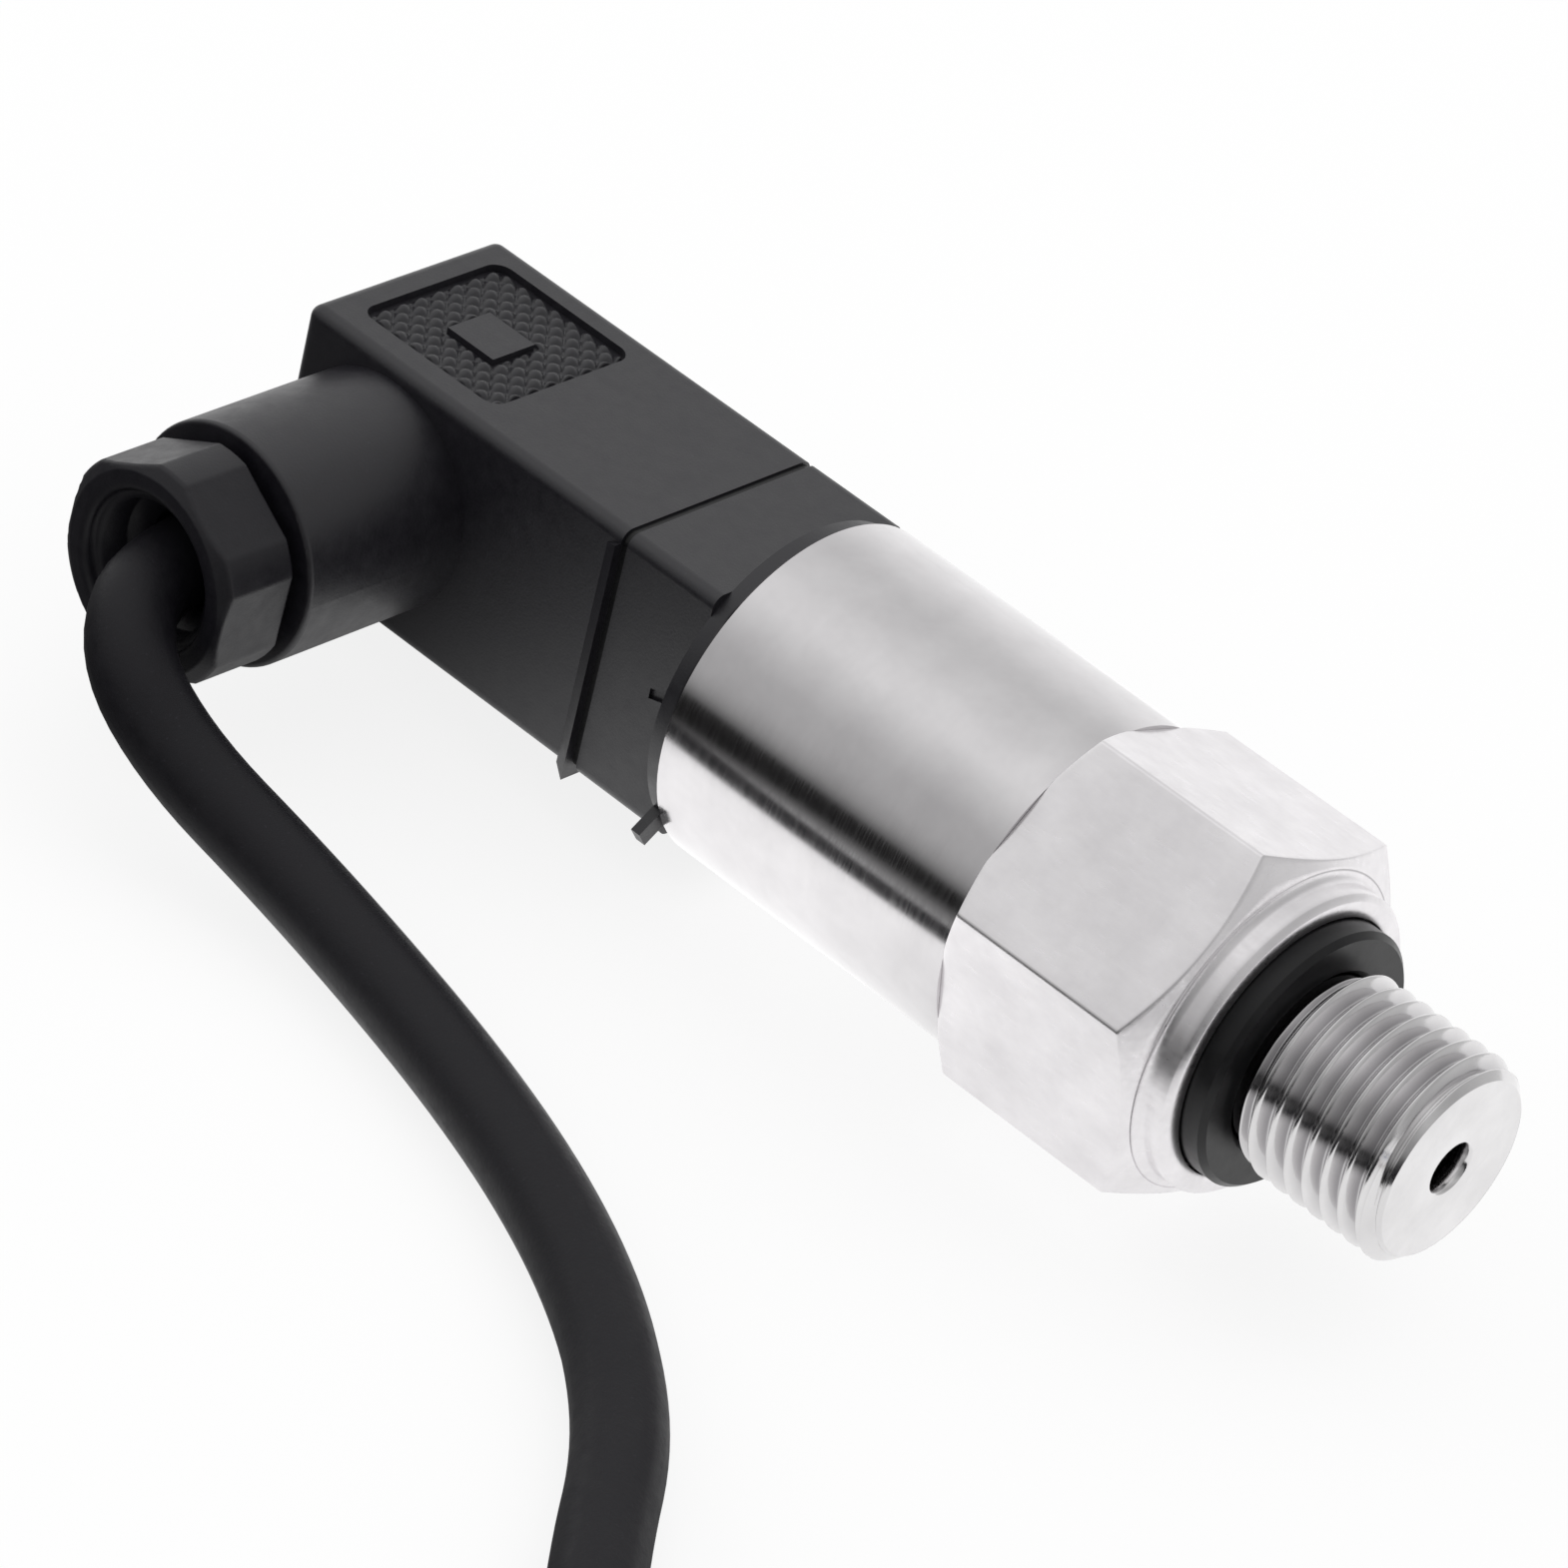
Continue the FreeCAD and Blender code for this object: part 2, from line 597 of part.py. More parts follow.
def plug_details(body):
    """Boss, cavity, gland bore, screw hole and grip pad."""
    boss = round_outline(body, "XZ_Plane", ("boss_x", "0"), "boss_radius", "half_width - plug_wall")
    boss_pad = extrude(body, boss, "boss_reach - half_width + plug_wall")
    reach = -value("boss_reach")
    soften(body, boss_pad, edges_where(
        boss_pad, lambda e: e.BoundBox.YMax < reach + NEAR), "boss_edge")
    cavity = outline(body, "YZ_Plane", rectangle(
        "-half_width + plug_wall", "half_width - plug_wall",
        "-half_height + plug_wall", "half_height - plug_wall"), "cavity_end")
    extrude(body, cavity, "plug_mouth - cavity_end", cut=True, backwards=True)
    bore = round_outline(body, "XZ_Plane", ("boss_x", "0"), "gland_bore_radius", "-(gland_seat)")
    extrude(body, bore, "gland_bore_depth", cut=True, backwards=True)
    hole = round_outline(body, "XZ_Plane", ("boss_x", "0"), "cable_hole_radius", "0")
    extrude(body, hole, "boss_reach", cut=True, backwards=True)
    counterbore = round_outline(body, "YZ_Plane", ("0", "0"), "counterbore_radius", "plug_end")
    extrude(body, counterbore, "counterbore_depth", cut=True, backwards=True)
    screw_hole = round_outline(body, "YZ_Plane", ("0", "0"), "screw_radius + screw_play", "plug_end")
    extrude(body, screw_hole, "end_wall", cut=True, backwards=True)
    pad = outline(body, "XY_Plane", rectangle("pad_end", "pad_end + pad_length",
                                              "pad_shift - pad_half_width", "pad_shift + pad_half_width"),
                  "half_height")
    recess = extrude(body, pad, "pad_depth", cut=True)
    top = value("half_height")
    soften(body, recess, edges_where(recess, lambda e: runs_along(e, Vec(0, 0, 1))
                                     and e.BoundBox.ZMin > top - value("pad_depth") - NEAR), "pad_corner")
    plate = outline(body, "XY_Plane", rectangle(
        "pad_middle - plate_length / 2", "pad_middle + plate_length / 2",
        "plate_shift - plate_half_width", "plate_shift + plate_half_width"), "half_height - pad_depth")
    extrude(body, plate, "plate_height")


def gland_nut():
    """Pressure screw of the gland: hexagon head, plain shank, countersunk cable hole."""
    body = new_body("gland_nut")
    place(body, x="boss_x")
    spin(body, [
        ("nut_bore_radius", "shank_end"), ("nut_shank_radius", "shank_end"),
        ("nut_shank_radius", "nut_rear"),
        ("nut_corner_radius", "nut_rear"), ("nut_corner_radius", "nut_front + nut_bevel_length"),
        ("nut_corner_radius - nut_bevel", "nut_front"), ("nut_mouth_radius", "nut_front"),
        ("nut_throat_radius", "nut_front + nut_lip"),
        ("nut_throat_radius", "nut_front + nut_throat_depth"),
        ("nut_bore_radius", "nut_front + nut_mouth_depth"),
    ], "Y")
    six_flats(body, "XZ_Plane", "Y_Axis", "nut_flats / 2",
              "nut_corner_radius + cutter_margin", "nut_turn + 30",
              "-(nut_rear)", "-(nut_front)")


def gland_ring(label, outer, inner, low, high):
    """A plain ring round the gland's axis."""
    body = new_body(label)
    place(body, x="boss_x")
    spin(body, rectangle(inner, outer, low, high), "Y")


def contact_carrier():
    """Insulating insert with four contact slots and a hole for the retaining screw."""
    body = new_body("contact_carrier")
    sketch = outline(body, "YZ_Plane", rectangle(
        "-half_width + plug_wall + carrier_gap", "half_width - plug_wall - carrier_gap",
        "-half_height + plug_wall + carrier_gap", "half_height - plug_wall - carrier_gap"), "carrier_rear")
    extrude(body, sketch, "carrier_length")
    hole = round_outline(body, "YZ_Plane", ("0", "0"), "carrier_screw_hole", "carrier_rear")
    extrude(body, hole, "carrier_length", cut=True, backwards=True)
    for name, side_y, side_z in CONTACTS:
        if side_y:
            half = ("socket_thick / 2", "socket_width / 2")
        else:
            half = ("socket_width / 2", "socket_thick / 2")
        slot = outline(body, "YZ_Plane", rectangle(
            "%d * blade_offset - %s" % (side_y, half[0]), "%d * blade_offset + %s" % (side_y, half[0]),
            "%d * blade_offset - %s" % (side_z, half[1]), "%d * blade_offset + %s" % (side_z, half[1])),
            "carrier_front - socket_length")
        extrude(body, slot, "socket_length", cut=True, backwards=True)


def socket_contacts():
    """Four folded spring sockets, one round each blade."""
    for name, side_y, side_z in CONTACTS:
        label = name.replace("blade", "socket")
        if side_y:
            sizes = ("socket_thick", "socket_width")
        else:
            sizes = ("socket_width", "socket_thick")
        outer = box(label + "_outer", "carrier_front - socket_length",
                    "%d * blade_offset - %s / 2" % (side_y, sizes[0]),
                    "%d * blade_offset - %s / 2" % (side_z, sizes[1]),
                    "socket_length", sizes[0], sizes[1])
        inner = blade_box(label + "_inner", side_y, side_z, "socket_play",
                          "carrier_front - socket_length + socket_floor", "carrier_front + cutter_margin")
        drilled(label, outer, inner)


def retaining_screw():
    """Cheese-head screw through the plug into the base's insert."""
    body = new_body("retaining_screw")
    spin(body, [
        ("head_seat - screw_head_height", "0"), ("head_seat - screw_head_height", "screw_head_radius"),
        ("head_seat", "screw_head_radius"), ("head_seat", "screw_radius"),
        ("screw_tip - screw_tip_bevel", "screw_radius"), ("screw_tip", "screw_radius - screw_tip_bevel"),
        ("screw_tip", "0"),
    ], "X")
    slot = outline(body, "YZ_Plane", rectangle(
        "-screw_head_radius - cutter_margin", "screw_head_radius + cutter_margin",
        "-screw_slot_width / 2", "screw_slot_width / 2"), "head_seat - screw_head_height")
    extrude(body, slot, "screw_slot_depth", cut=True, backwards=True)


def terminal_screws():
    """Four clamping screws on the back of the carrier, one node."""
    screws = []
    for name, side_y, side_z in CONTACTS:
        screw = primitive("Cylinder", name.replace("blade", "terminal"), Radius="terminal_radius",
                          Height="terminal_length")
        along_x(screw)
        place(screw, "carrier_rear - terminal_length",
              "%d * blade_offset" % side_y, "%d * blade_offset" % side_z)
        screws.append(screw)
    group = doc.addObject("Part::Compound", "terminal_screws")
    group.Links = screws
    finished(group, "terminal_screws")


def board_leads():
    """Four stiff wires from the board to the tails of the contact blades, one node."""
    wires = []
    for name, side_y, side_z in CONTACTS:
        wire = primitive("Cylinder", name.replace("blade", "lead"), Radius="lead_radius",
                         Height="board_rear - base_inner - blade_tail")
        along_x(wire)
        place(wire, "base_inner + blade_tail", "%d * blade_offset" % side_y, "%d * blade_offset" % side_z)
        wires.append(wire)
    group = doc.addObject("Part::Compound", "board_leads")
    group.Links = wires
    finished(group, "board_leads")


# ---------------------------------------------------------------- cable
# centre height of cable lying on the surface that the part rests on
LOW = value("resting_height + cord_radius")

# The route from inside the gland, out of the nut and down, to where the coil starts.
CORD_ROUTE = [
    (-66.55, -21.0, 0.0), (-66.55, -26.3, 0.0), (-63.0, -30.2, -2.4), (-57.3, -30.4, -5.9),
    (-48.6, -29.9, -8.3), (-39.6, -30.9, -9.4), (-30.8, -32.8, LOW), (-22.2, -35.6, LOW),
    (-14.6, -38.9, LOW), (-8.0, -42.8, LOW), (-2.4, -47.6, LOW), (2.4, -53.8, LOW),
    (9.6, -62.3, LOW), (18.4, -70.8, LOW), (27.9, -78.5, LOW), (38.2, -85.2, LOW),
    (49.4, -90.47, LOW),
]

# Where the three free cores leave the coil, and how they fan out on the surface.
CORE_NAMES = ("brown_core", "blue_core", "black_core")
CORE_EXIT_ANGLE = 42.5
# Each place along a free core: distance from the coil, spread of the outer cores, share of the
# way down from the coil's upper layer to the surface.
CORE_FAN = ((13.0, 1.3, 0.0), (21.0, 2.2, 0.23), (30.0, 4.2, 1.0), (39.0, 7.4, 1.0))


def inner_cable():
    """The straight end of the cable inside the gland and the plug."""
    thing = primitive("Cylinder", "cable_inner_end", Radius="cord_radius", Height="cord_start - sheath_end")
    thing.Placement = FreeCAD.Placement(Vec(), FreeCAD.Rotation(Vec(1, 0, 0), -90))
    place(thing, "boss_x", "-cord_start", "0")
    finished(thing, "cable_inner_end")


def inner_cores():
    """Three stripped cores from the cable's inner end to the terminals."""
    start_y = -value("sheath_end")
    end_x = value("carrier_rear - terminal_length")
    straight_y = value("core_straight - sheath_end")
    offset = value("blade_offset")
    spread = value("core_spread")
    x = value("boss_x")
    bend_x = value("boss_x + core_bend")
    radius = value("core_radius")
    for name, side in (("signal_wire", 1), ("supply_wire", -1)):
        tube(name, [(x, start_y, spread * side), (x, straight_y, spread * side),
                    (bend_x, 0.0, offset * side), (end_x, 0.0, offset * side)], radius)
    earth_x = value("boss_x + earth_core_shift")
    earth_y = value("earth_core_drop - blade_offset")
    tube("earth_wire", [(earth_x, start_y, 0.0), (earth_x, earth_y, 0.0), (end_x, earth_y, 0.0)], radius)


def cable_tube():
    """The cable from the gland to the coil."""
    thing, length, radii = tube("cable_tube", CORD_ROUTE, value("cord_radius"))
    print("cable_tube length %.1f mm, arc radii %s" % (length, ", ".join("%.1f" % r for r in radii)))


def cable_coil():
    """The outer shape of the coiled length: turns side by side in two layers."""
    body = new_body("cable_coil")
    place(body, "coil_x", "coil_y", "resting_height")
    ring_solid = spin(body, rectangle("coil_inner", "coil_outer", "0", "coil_layers * 2 * cord_radius"),
                      "Y", plane="XZ_Plane")
    soften(body, ring_solid, edges_where(ring_solid, lambda e: e.Closed), "coil_edge")


def free_cores():
    """The stripped cores at the far end, each with an end ferrule, fanned out on the surface."""
    angle = math.radians(CORE_EXIT_ANGLE)
    heading = Vec(-math.sin(angle), math.cos(angle), 0)
    side = Vec(math.cos(angle), math.sin(angle), 0)
    layer = value("resting_height + coil_layers * 2 * cord_radius - cord_radius")
    leaving = Vec(value("coil_x"), value("coil_y"), 0) + side * value("coil_mean_radius + 3 * cord_radius")
    level = value("resting_height + ferrule_sleeve_radius")
    for i, name in enumerate(CORE_NAMES):
        lean = i - 1
        points = []
        for along, across, drop in CORE_FAN:
            point = leaving + heading * along + side * (across * lean)
            points.append((point.x, point.y, layer + (level - layer) * drop))
        tube(name, points, value("core_radius"))
        last = Vec(*points[-1])
        out = last - Vec(*points[-2])
        ferrule = new_body(name.replace("core", "ferrule"))
        spin(ferrule, [
            ("0", "0"), ("0", "ferrule_sleeve_radius"), ("ferrule_sleeve_length", "ferrule_sleeve_radius"),
            ("ferrule_sleeve_length", "ferrule_radius"), ("ferrule_length", "ferrule_radius"),
            ("ferrule_length", "0"),
        ], "X")
        ferrule.Placement = FreeCAD.Placement(last, FreeCAD.Rotation(Vec(1, 0, 0), out))


process_fitting()
profile_seal_ring()
sensor_cell()
o_ring("cell_seal", "pocket_floor - cell_ring_section", "cell_ring_radius",
       "cell_ring_section - seal_play")
ring("cell_clamp_ring", "pocket_radius - clamp_ring_play", "clamp_ring_bore", "clamp_rear", "cell_rear")
ring("board_spacer", "spacer_radius", "spacer_radius - spacer_wall", "board_front", "spigot_rear")
circuit_board()
board_components()
cell_leads()
case_tube()
connector_base()
o_ring("base_seal", "case_rear + base_groove_place + base_groove_width / 2",
       "base_groove_radius + base_ring_section + seal_play", "base_ring_section")
contact_blades()
screw_insert()
plug_gasket()
plug_details(plug_housing())
gland_nut()
gland_ring("gland_washer", "washer_radius", "washer_bore", "shank_end", "washer_inner")
gland_ring("gland_grommet", "grommet_radius", "grommet_bore", "washer_inner", "gland_seat")
contact_carrier()
socket_contacts()
retaining_screw()
ring("screw_seal", "seal_radius", "seal_bore", "head_seat", "counterbore_floor")
terminal_screws()
board_leads()
inner_cable()
inner_cores()
cable_tube()
cable_coil()
free_cores()

doc.recompute()
for thing in doc.Objects:
    if "Invalid" in thing.State or "Error" in thing.State:
        raise RuntimeError("%s failed: %s" % (thing.Label, thing.State))
os.makedirs("parts", exist_ok=True)
for thing in SUBPARTS:
    shape = thing.Shape
    if shape.isNull() or not shape.isValid():
        raise RuntimeError(thing.Label + " has no valid shape")
    shape.exportStep(os.path.join("parts", thing.Label + ".step"))
    print("%-20s %9.2f mm3  %d solids" % (thing.Label, shape.Volume, len(shape.Solids)))
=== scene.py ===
"""Pressure transmitter with a right-angle plug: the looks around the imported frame.  Metres.

X runs along the process axis towards the thread, and is 0 at the sealing face.
-Y is the way the cable leaves the plug, and +Z is the plug's grip-pad side.
"""

import math

import bpy
import numpy as np
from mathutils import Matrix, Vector

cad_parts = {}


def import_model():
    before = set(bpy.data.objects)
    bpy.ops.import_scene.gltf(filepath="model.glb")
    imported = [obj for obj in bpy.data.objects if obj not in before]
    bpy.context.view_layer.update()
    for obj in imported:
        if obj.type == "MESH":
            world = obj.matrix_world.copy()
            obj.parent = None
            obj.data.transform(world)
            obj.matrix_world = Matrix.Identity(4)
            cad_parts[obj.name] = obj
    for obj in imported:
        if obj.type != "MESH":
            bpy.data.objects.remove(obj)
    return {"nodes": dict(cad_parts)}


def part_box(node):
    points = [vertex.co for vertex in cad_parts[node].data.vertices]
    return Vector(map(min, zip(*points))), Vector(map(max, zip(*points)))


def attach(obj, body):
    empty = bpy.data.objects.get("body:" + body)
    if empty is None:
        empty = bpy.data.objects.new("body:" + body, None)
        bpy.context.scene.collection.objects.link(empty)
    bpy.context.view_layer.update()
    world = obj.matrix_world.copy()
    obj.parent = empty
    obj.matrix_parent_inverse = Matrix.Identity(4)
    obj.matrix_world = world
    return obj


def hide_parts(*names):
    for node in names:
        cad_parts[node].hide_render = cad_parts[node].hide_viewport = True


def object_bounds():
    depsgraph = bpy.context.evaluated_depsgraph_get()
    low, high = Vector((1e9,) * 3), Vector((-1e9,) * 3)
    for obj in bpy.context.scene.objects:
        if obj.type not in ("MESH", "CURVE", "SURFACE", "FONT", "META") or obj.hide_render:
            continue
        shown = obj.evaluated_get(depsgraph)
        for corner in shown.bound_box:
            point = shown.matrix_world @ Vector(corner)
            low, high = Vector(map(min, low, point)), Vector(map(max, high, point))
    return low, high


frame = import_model()
cad_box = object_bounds()
scene = bpy.context.scene
nodes = frame["nodes"]

# ------------------------------------------------------------------ camera
CAMERA_PLACE = (0.19229, -0.31456, 0.25619)
CAMERA_TURN = (0.7987599, 0.4612692, 0.0897018, 0.3757218)
CAMERA_LENS = 184.9


def make_camera():
    """A long lens, looking down on the part from the thread's side."""
    data = bpy.data.cameras.new("camera")
    data.lens = CAMERA_LENS
    data.sensor_width = 36.0
    data.clip_start = 0.01
    data.clip_end = 20.0
    camera = bpy.data.objects.new("camera", data)
    camera.location = CAMERA_PLACE
    camera.rotation_mode = "QUATERNION"
    camera.rotation_quaternion = CAMERA_TURN
    scene.collection.objects.link(camera)
    scene.camera = camera


# ------------------------------------------------------------------ cable
CORD_RADIUS = 0.00265
LOW = -0.009734
CORD_ROUTE = [
    (-0.06655, -0.0210, 0.0), (-0.06655, -0.0265, 0.0), (-0.0631, -0.0305, -0.0024),
    (-0.0573, -0.0305, -0.0059), (-0.0486, -0.0297, -0.0083), (-0.0396, -0.0306, -0.0094),
    (-0.0308, -0.0325, LOW), (-0.0222, -0.0353, LOW), (-0.0146, -0.0387, LOW),
    (-0.0080, -0.0428, LOW), (-0.0024, -0.0478, LOW), (0.0023, -0.0541, LOW),
    (0.0095, -0.0625, LOW), (0.0184, -0.0709, LOW), (0.0279, -0.0785, LOW),
    (0.0382, -0.0852, LOW), (0.0494, -0.09047, LOW),
]
COIL_MIDDLE = (0.0651, -0.0568)
COIL_MEAN = 0.0292
COIL_STEPS = 16                 # points to a turn
COIL_LAYER = 4                  # turns in a layer
COIL_TURNS = 7.4375
CROSSING = 0.22                 # part of a turn in which the cable moves on to the next ring


def smooth(value):
    """0 below 0, 1 above 1, and an even S between."""
    part = np.clip(value, 0.0, 1.0)
    return part * part * (3.0 - 2.0 * part)


def coil_points():
    """Rings beside each other: from the outer to the inner one on the lower layer, and out again on it.

    In each layer the cable steps one ring on in a short crossing, and it climbs where two of them meet."""
    pull = 0.75 + 0.25 * math.cos(2.0 * math.pi / COIL_STEPS)
    start = math.atan2(CORD_ROUTE[-1][1] - COIL_MIDDLE[1], CORD_ROUTE[-1][0] - COIL_MIDDLE[0])
    turn = np.arange(1, round(COIL_TURNS * COIL_STEPS) + 1) / COIL_STEPS
    inward = sum(smooth((turn - k) / CROSSING + 1.0) for k in range(1, COIL_LAYER))
    outward = sum(smooth((turn - k) / CROSSING + 2.0) for k in range(COIL_LAYER + 1, 2 * COIL_LAYER))
    radius = COIL_MEAN + 2.0 * CORD_RADIUS * ((COIL_LAYER - 1) / 2.0 - inward + outward)
    height = LOW + 2.0 * CORD_RADIUS * smooth((turn - COIL_LAYER) / (1.75 * CROSSING) + 1.0)
    angle = start + 2.0 * math.pi * turn
    x = COIL_MIDDLE[0] + radius / pull * np.cos(angle)
    y = COIL_MIDDLE[1] + radius / pull * np.sin(angle)
    return np.column_stack((x, y, height))


# ------------------------------------------------------------------ making meshes
CURVE_STEPS = 6                 # steps between two points of a curve, and round a quarter of its bar


def finish_piece(piece, material, body="transmitter"):
    """Links a piece, gives it its material, and lets it ride on its body."""
    scene.collection.objects.link(piece)
    piece.data.materials.append(material)
    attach(piece, body)
    return piece


def grid_mesh(name, points, closed_rows=False, closed_columns=False):
    """A smooth-shaded mesh from an array of points in rows and columns, faces turned by their order."""
    rows, columns = points.shape[:2]
    index = np.arange(rows * columns).reshape(rows, columns)
    if closed_rows:
        index = np.vstack((index, index[:1]))
    if closed_columns:
        index = np.hstack((index, index[:, :1]))
    corners = (index[:-1, :-1], index[:-1, 1:], index[1:, 1:], index[1:, :-1])
    faces = np.stack(corners, axis=-1).reshape(-1, 4)
    mesh = bpy.data.meshes.new(name)
    mesh.from_pydata(points.reshape(-1, 3).tolist(), [], faces.tolist())
    mesh.polygons.foreach_set("use_smooth", np.ones(len(mesh.polygons), bool))
    mesh.update()
    return mesh


def curve_piece(name, points, radius, material, body="transmitter"):
    """A round bar along a NURBS curve through or near the points."""
    data = bpy.data.curves.new(name, "CURVE")
    data.dimensions = "3D"
    spline = data.splines.new("NURBS")
    spline.points.add(len(points) - 1)
    spline.points.foreach_set("co", np.column_stack((points, np.ones(len(points)))).ravel())
    spline.order_u = 3
    spline.use_endpoint_u = True
    spline.resolution_u = CURVE_STEPS
    data.bevel_depth = radius
    data.bevel_resolution = CURVE_STEPS
    data.use_fill_caps = True
    return finish_piece(bpy.data.objects.new(name, data), material, body)


# ------------------------------------------------------------------ shader groups
def new_group(name, inputs, outputs):
    """An empty shader node group with named sockets, and its input and output nodes."""
    group = bpy.data.node_groups.new(name, "ShaderNodeTree")
    for label, start in inputs:
        kind = "NodeSocketColor" if isinstance(start, tuple) else "NodeSocketFloat"
        socket = group.interface.new_socket(name=label, in_out="INPUT", socket_type=kind)
        socket.default_value = start
    for label, kind in outputs:
        group.interface.new_socket(name=label, in_out="OUTPUT", socket_type=kind)
    return group, group.nodes.new("NodeGroupInput"), group.nodes.new("NodeGroupOutput")


def noise(tree, vector, scale, detail=2.0, rough=0.5):
    """A noise texture read at a vector."""
    node = tree.nodes.new("ShaderNodeTexNoise")
    node.inputs["Detail"].default_value = detail
    node.inputs["Roughness"].default_value = rough
    tree.links.new(vector, node.inputs["Vector"])
    if isinstance(scale, (int, float)):
        node.inputs["Scale"].default_value = scale
    else:
        tree.links.new(scale, node.inputs["Scale"])
    return node.outputs["Fac"]


def math_node(tree, operation, first, second=0.0, third=None):
    """One sum on sockets or numbers."""
    node = tree.nodes.new("ShaderNodeMath")
    node.operation = operation
    values = [first, second] if third is None else [first, second, third]
    for socket, value in zip(node.inputs, values):
        if isinstance(value, (int, float)):
            socket.default_value = value
        else:
            tree.links.new(value, socket)
    return node.outputs[0]


def mix_color(tree, factor, first, second, blend="MIX"):
    """Two colours mixed by a factor."""
    node = tree.nodes.new("ShaderNodeMix")
    node.data_type = "RGBA"
    node.blend_type = blend
    pairs = ((node.inputs[0], factor), (node.inputs[6], first), (node.inputs[7], second))
    for socket, value in pairs:
        if isinstance(value, bpy.types.NodeSocket):
            tree.links.new(value, socket)
        else:
            socket.default_value = value if isinstance(value, (int, float)) else (*value, 1.0)
    return node.outputs[2]


def value_ramp(tree, factor, stops):
    """A number read from (place, value) stops."""
    ramp = tree.nodes.new("ShaderNodeValToRGB")
    elements = ramp.color_ramp.elements
    while len(elements) < len(stops):
        elements.new(0.5)
    for element, (place, level) in zip(elements, stops):
        element.position = place
        element.color = (level, level, level, 1.0)
    tree.links.new(factor, ramp.inputs["Fac"])
    return ramp.outputs["Color"]


def object_place(tree):
    """The X, Y and Z of the point that is shaded, in the object's own coordinates."""
    split = tree.nodes.new("ShaderNodeSeparateXYZ")
    tree.links.new(tree.nodes.new("ShaderNodeTexCoord").outputs["Object"], split.inputs[0])
    return split.outputs


def part_range(tree, value, low, high, first, last):
    """A number that runs from first to last as the value runs from low to high."""
    node = tree.nodes.new("ShaderNodeMapRange")
    for label, level in (("From Min", low), ("From Max", high), ("To Min", first), ("To Max", last)):
        node.inputs[label].default_value = level
    tree.links.new(value, node.inputs["Value"])
    return node.outputs["Result"]


def moulded_grain():
    """Moulded plastic: a fine eroded grain, wide soft sinks, and small pale scuffs."""
    group, taken, given = new_group(
        "moulded_grain",
        [("Grain Scale", 6000.0), ("Scuff Amount", 0.3)],
        [("Height", "NodeSocketFloat"), ("Cloud", "NodeSocketFloat"), ("Scuff", "NodeSocketFloat")])
    place = group.nodes.new("ShaderNodeTexCoord").outputs["Object"]
    grain = noise(group, place, taken.outputs["Grain Scale"], 3.0, 0.6)
    sinks = noise(group, place, 220.0, 2.0)
    cloud = noise(group, place, 900.0, 4.0, 0.65)
    specks = noise(group, place, 3800.0, 2.0)
    patches = noise(group, place, 400.0, 3.0)
    height = math_node(group, "MULTIPLY_ADD", sinks, 1.5, grain)
    high = math_node(group, "SUBTRACT", specks, 0.66)
    worn = math_node(group, "MULTIPLY", math_node(group, "MULTIPLY", high, 9.0), patches)
    scuff = math_node(group, "MULTIPLY", worn, taken.outputs["Scuff Amount"])
    scuff.node.use_clamp = True
    for socket, label in ((height, "Height"), (cloud, "Cloud"), (scuff, "Scuff")):
        group.links.new(socket, given.inputs[label])
    return group


def turned_steel():
    """Turned steel: fine rings about X, faint stains, and shallow waviness."""
    group, taken, given = new_group(
        "turned_steel",
        [("Ring Scale", 9000.0), ("Stain Scale", 260.0)],
        [("Height", "NodeSocketFloat"), ("Line", "NodeSocketFloat"), ("Stain", "NodeSocketFloat")])
    place = group.nodes.new("ShaderNodeTexCoord").outputs["Object"]
    stretch = group.nodes.new("ShaderNodeMapping")
    stretch.inputs["Scale"].default_value = (1.0, 0.03, 0.03)
    group.links.new(place, stretch.inputs["Vector"])
    ring = noise(group, stretch.outputs["Vector"], taken.outputs["Ring Scale"], 3.0, 0.6)
    stain = noise(group, place, taken.outputs["Stain Scale"], 4.0, 0.6)
    for socket, label in ((ring, "Height"), (ring, "Line"), (stain, "Stain")):
        group.links.new(socket, given.inputs[label])
    return group


def brushed_steel():
    """Milled or tumbled steel: short faint scratches every way, soft stains and small pits."""
    group, taken, given = new_group(
        "brushed_steel",
        [("Scratch Scale", 2600.0), ("Stain Scale", 300.0)],
        [("Height", "NodeSocketFloat"), ("Line", "NodeSocketFloat"), ("Stain", "NodeSocketFloat")])
    place = group.nodes.new("ShaderNodeTexCoord").outputs["Object"]
    stretch = group.nodes.new("ShaderNodeMapping")
    stretch.inputs["Scale"].default_value = (0.25, 1.0, 1.0)
    group.links.new(place, stretch.inputs["Vector"])
    scratch = noise(group, stretch.outputs["Vector"], taken.outputs["Scratch Scale"], 4.0, 0.65)
    stain = noise(group, place, taken.outputs["Stain Scale"], 4.0, 0.6)
    pits = noise(group, place, 1900.0, 2.0)
    deep = math_node(group, "LESS_THAN", pits, 0.27)
    height = math_node(group, "SUBTRACT", scratch, math_node(group, "MULTIPLY", deep, 0.5))
    for socket, label in ((height, "Height"), (scratch, "Line"), (stain, "Stain")):
        group.links.new(socket, given.inputs[label])
    return group


GRAIN = moulded_grain()
TURNED = turned_steel()
BRUSHED = brushed_steel()


# ------------------------------------------------------------------ materials
def surface(name, group, **values):
    """A material with a Principled shader and one of the groups above, with its own values."""
    material = bpy.data.materials.new(name)
    material.use_nodes = True
    tree = material.node_tree
    shader = tree.nodes["Principled BSDF"]
    detail = tree.nodes.new("ShaderNodeGroup")
    detail.node_tree = group
    for label, value in values.items():
        detail.inputs[label.replace("_", " ").title()].default_value = value
    return material, tree, shader, detail


def spread(tree, factor, low, high):
    """A number that runs from low to high as the factor runs over the middle of a noise's range."""
    return part_range(tree, factor, 0.3, 0.7, low, high)


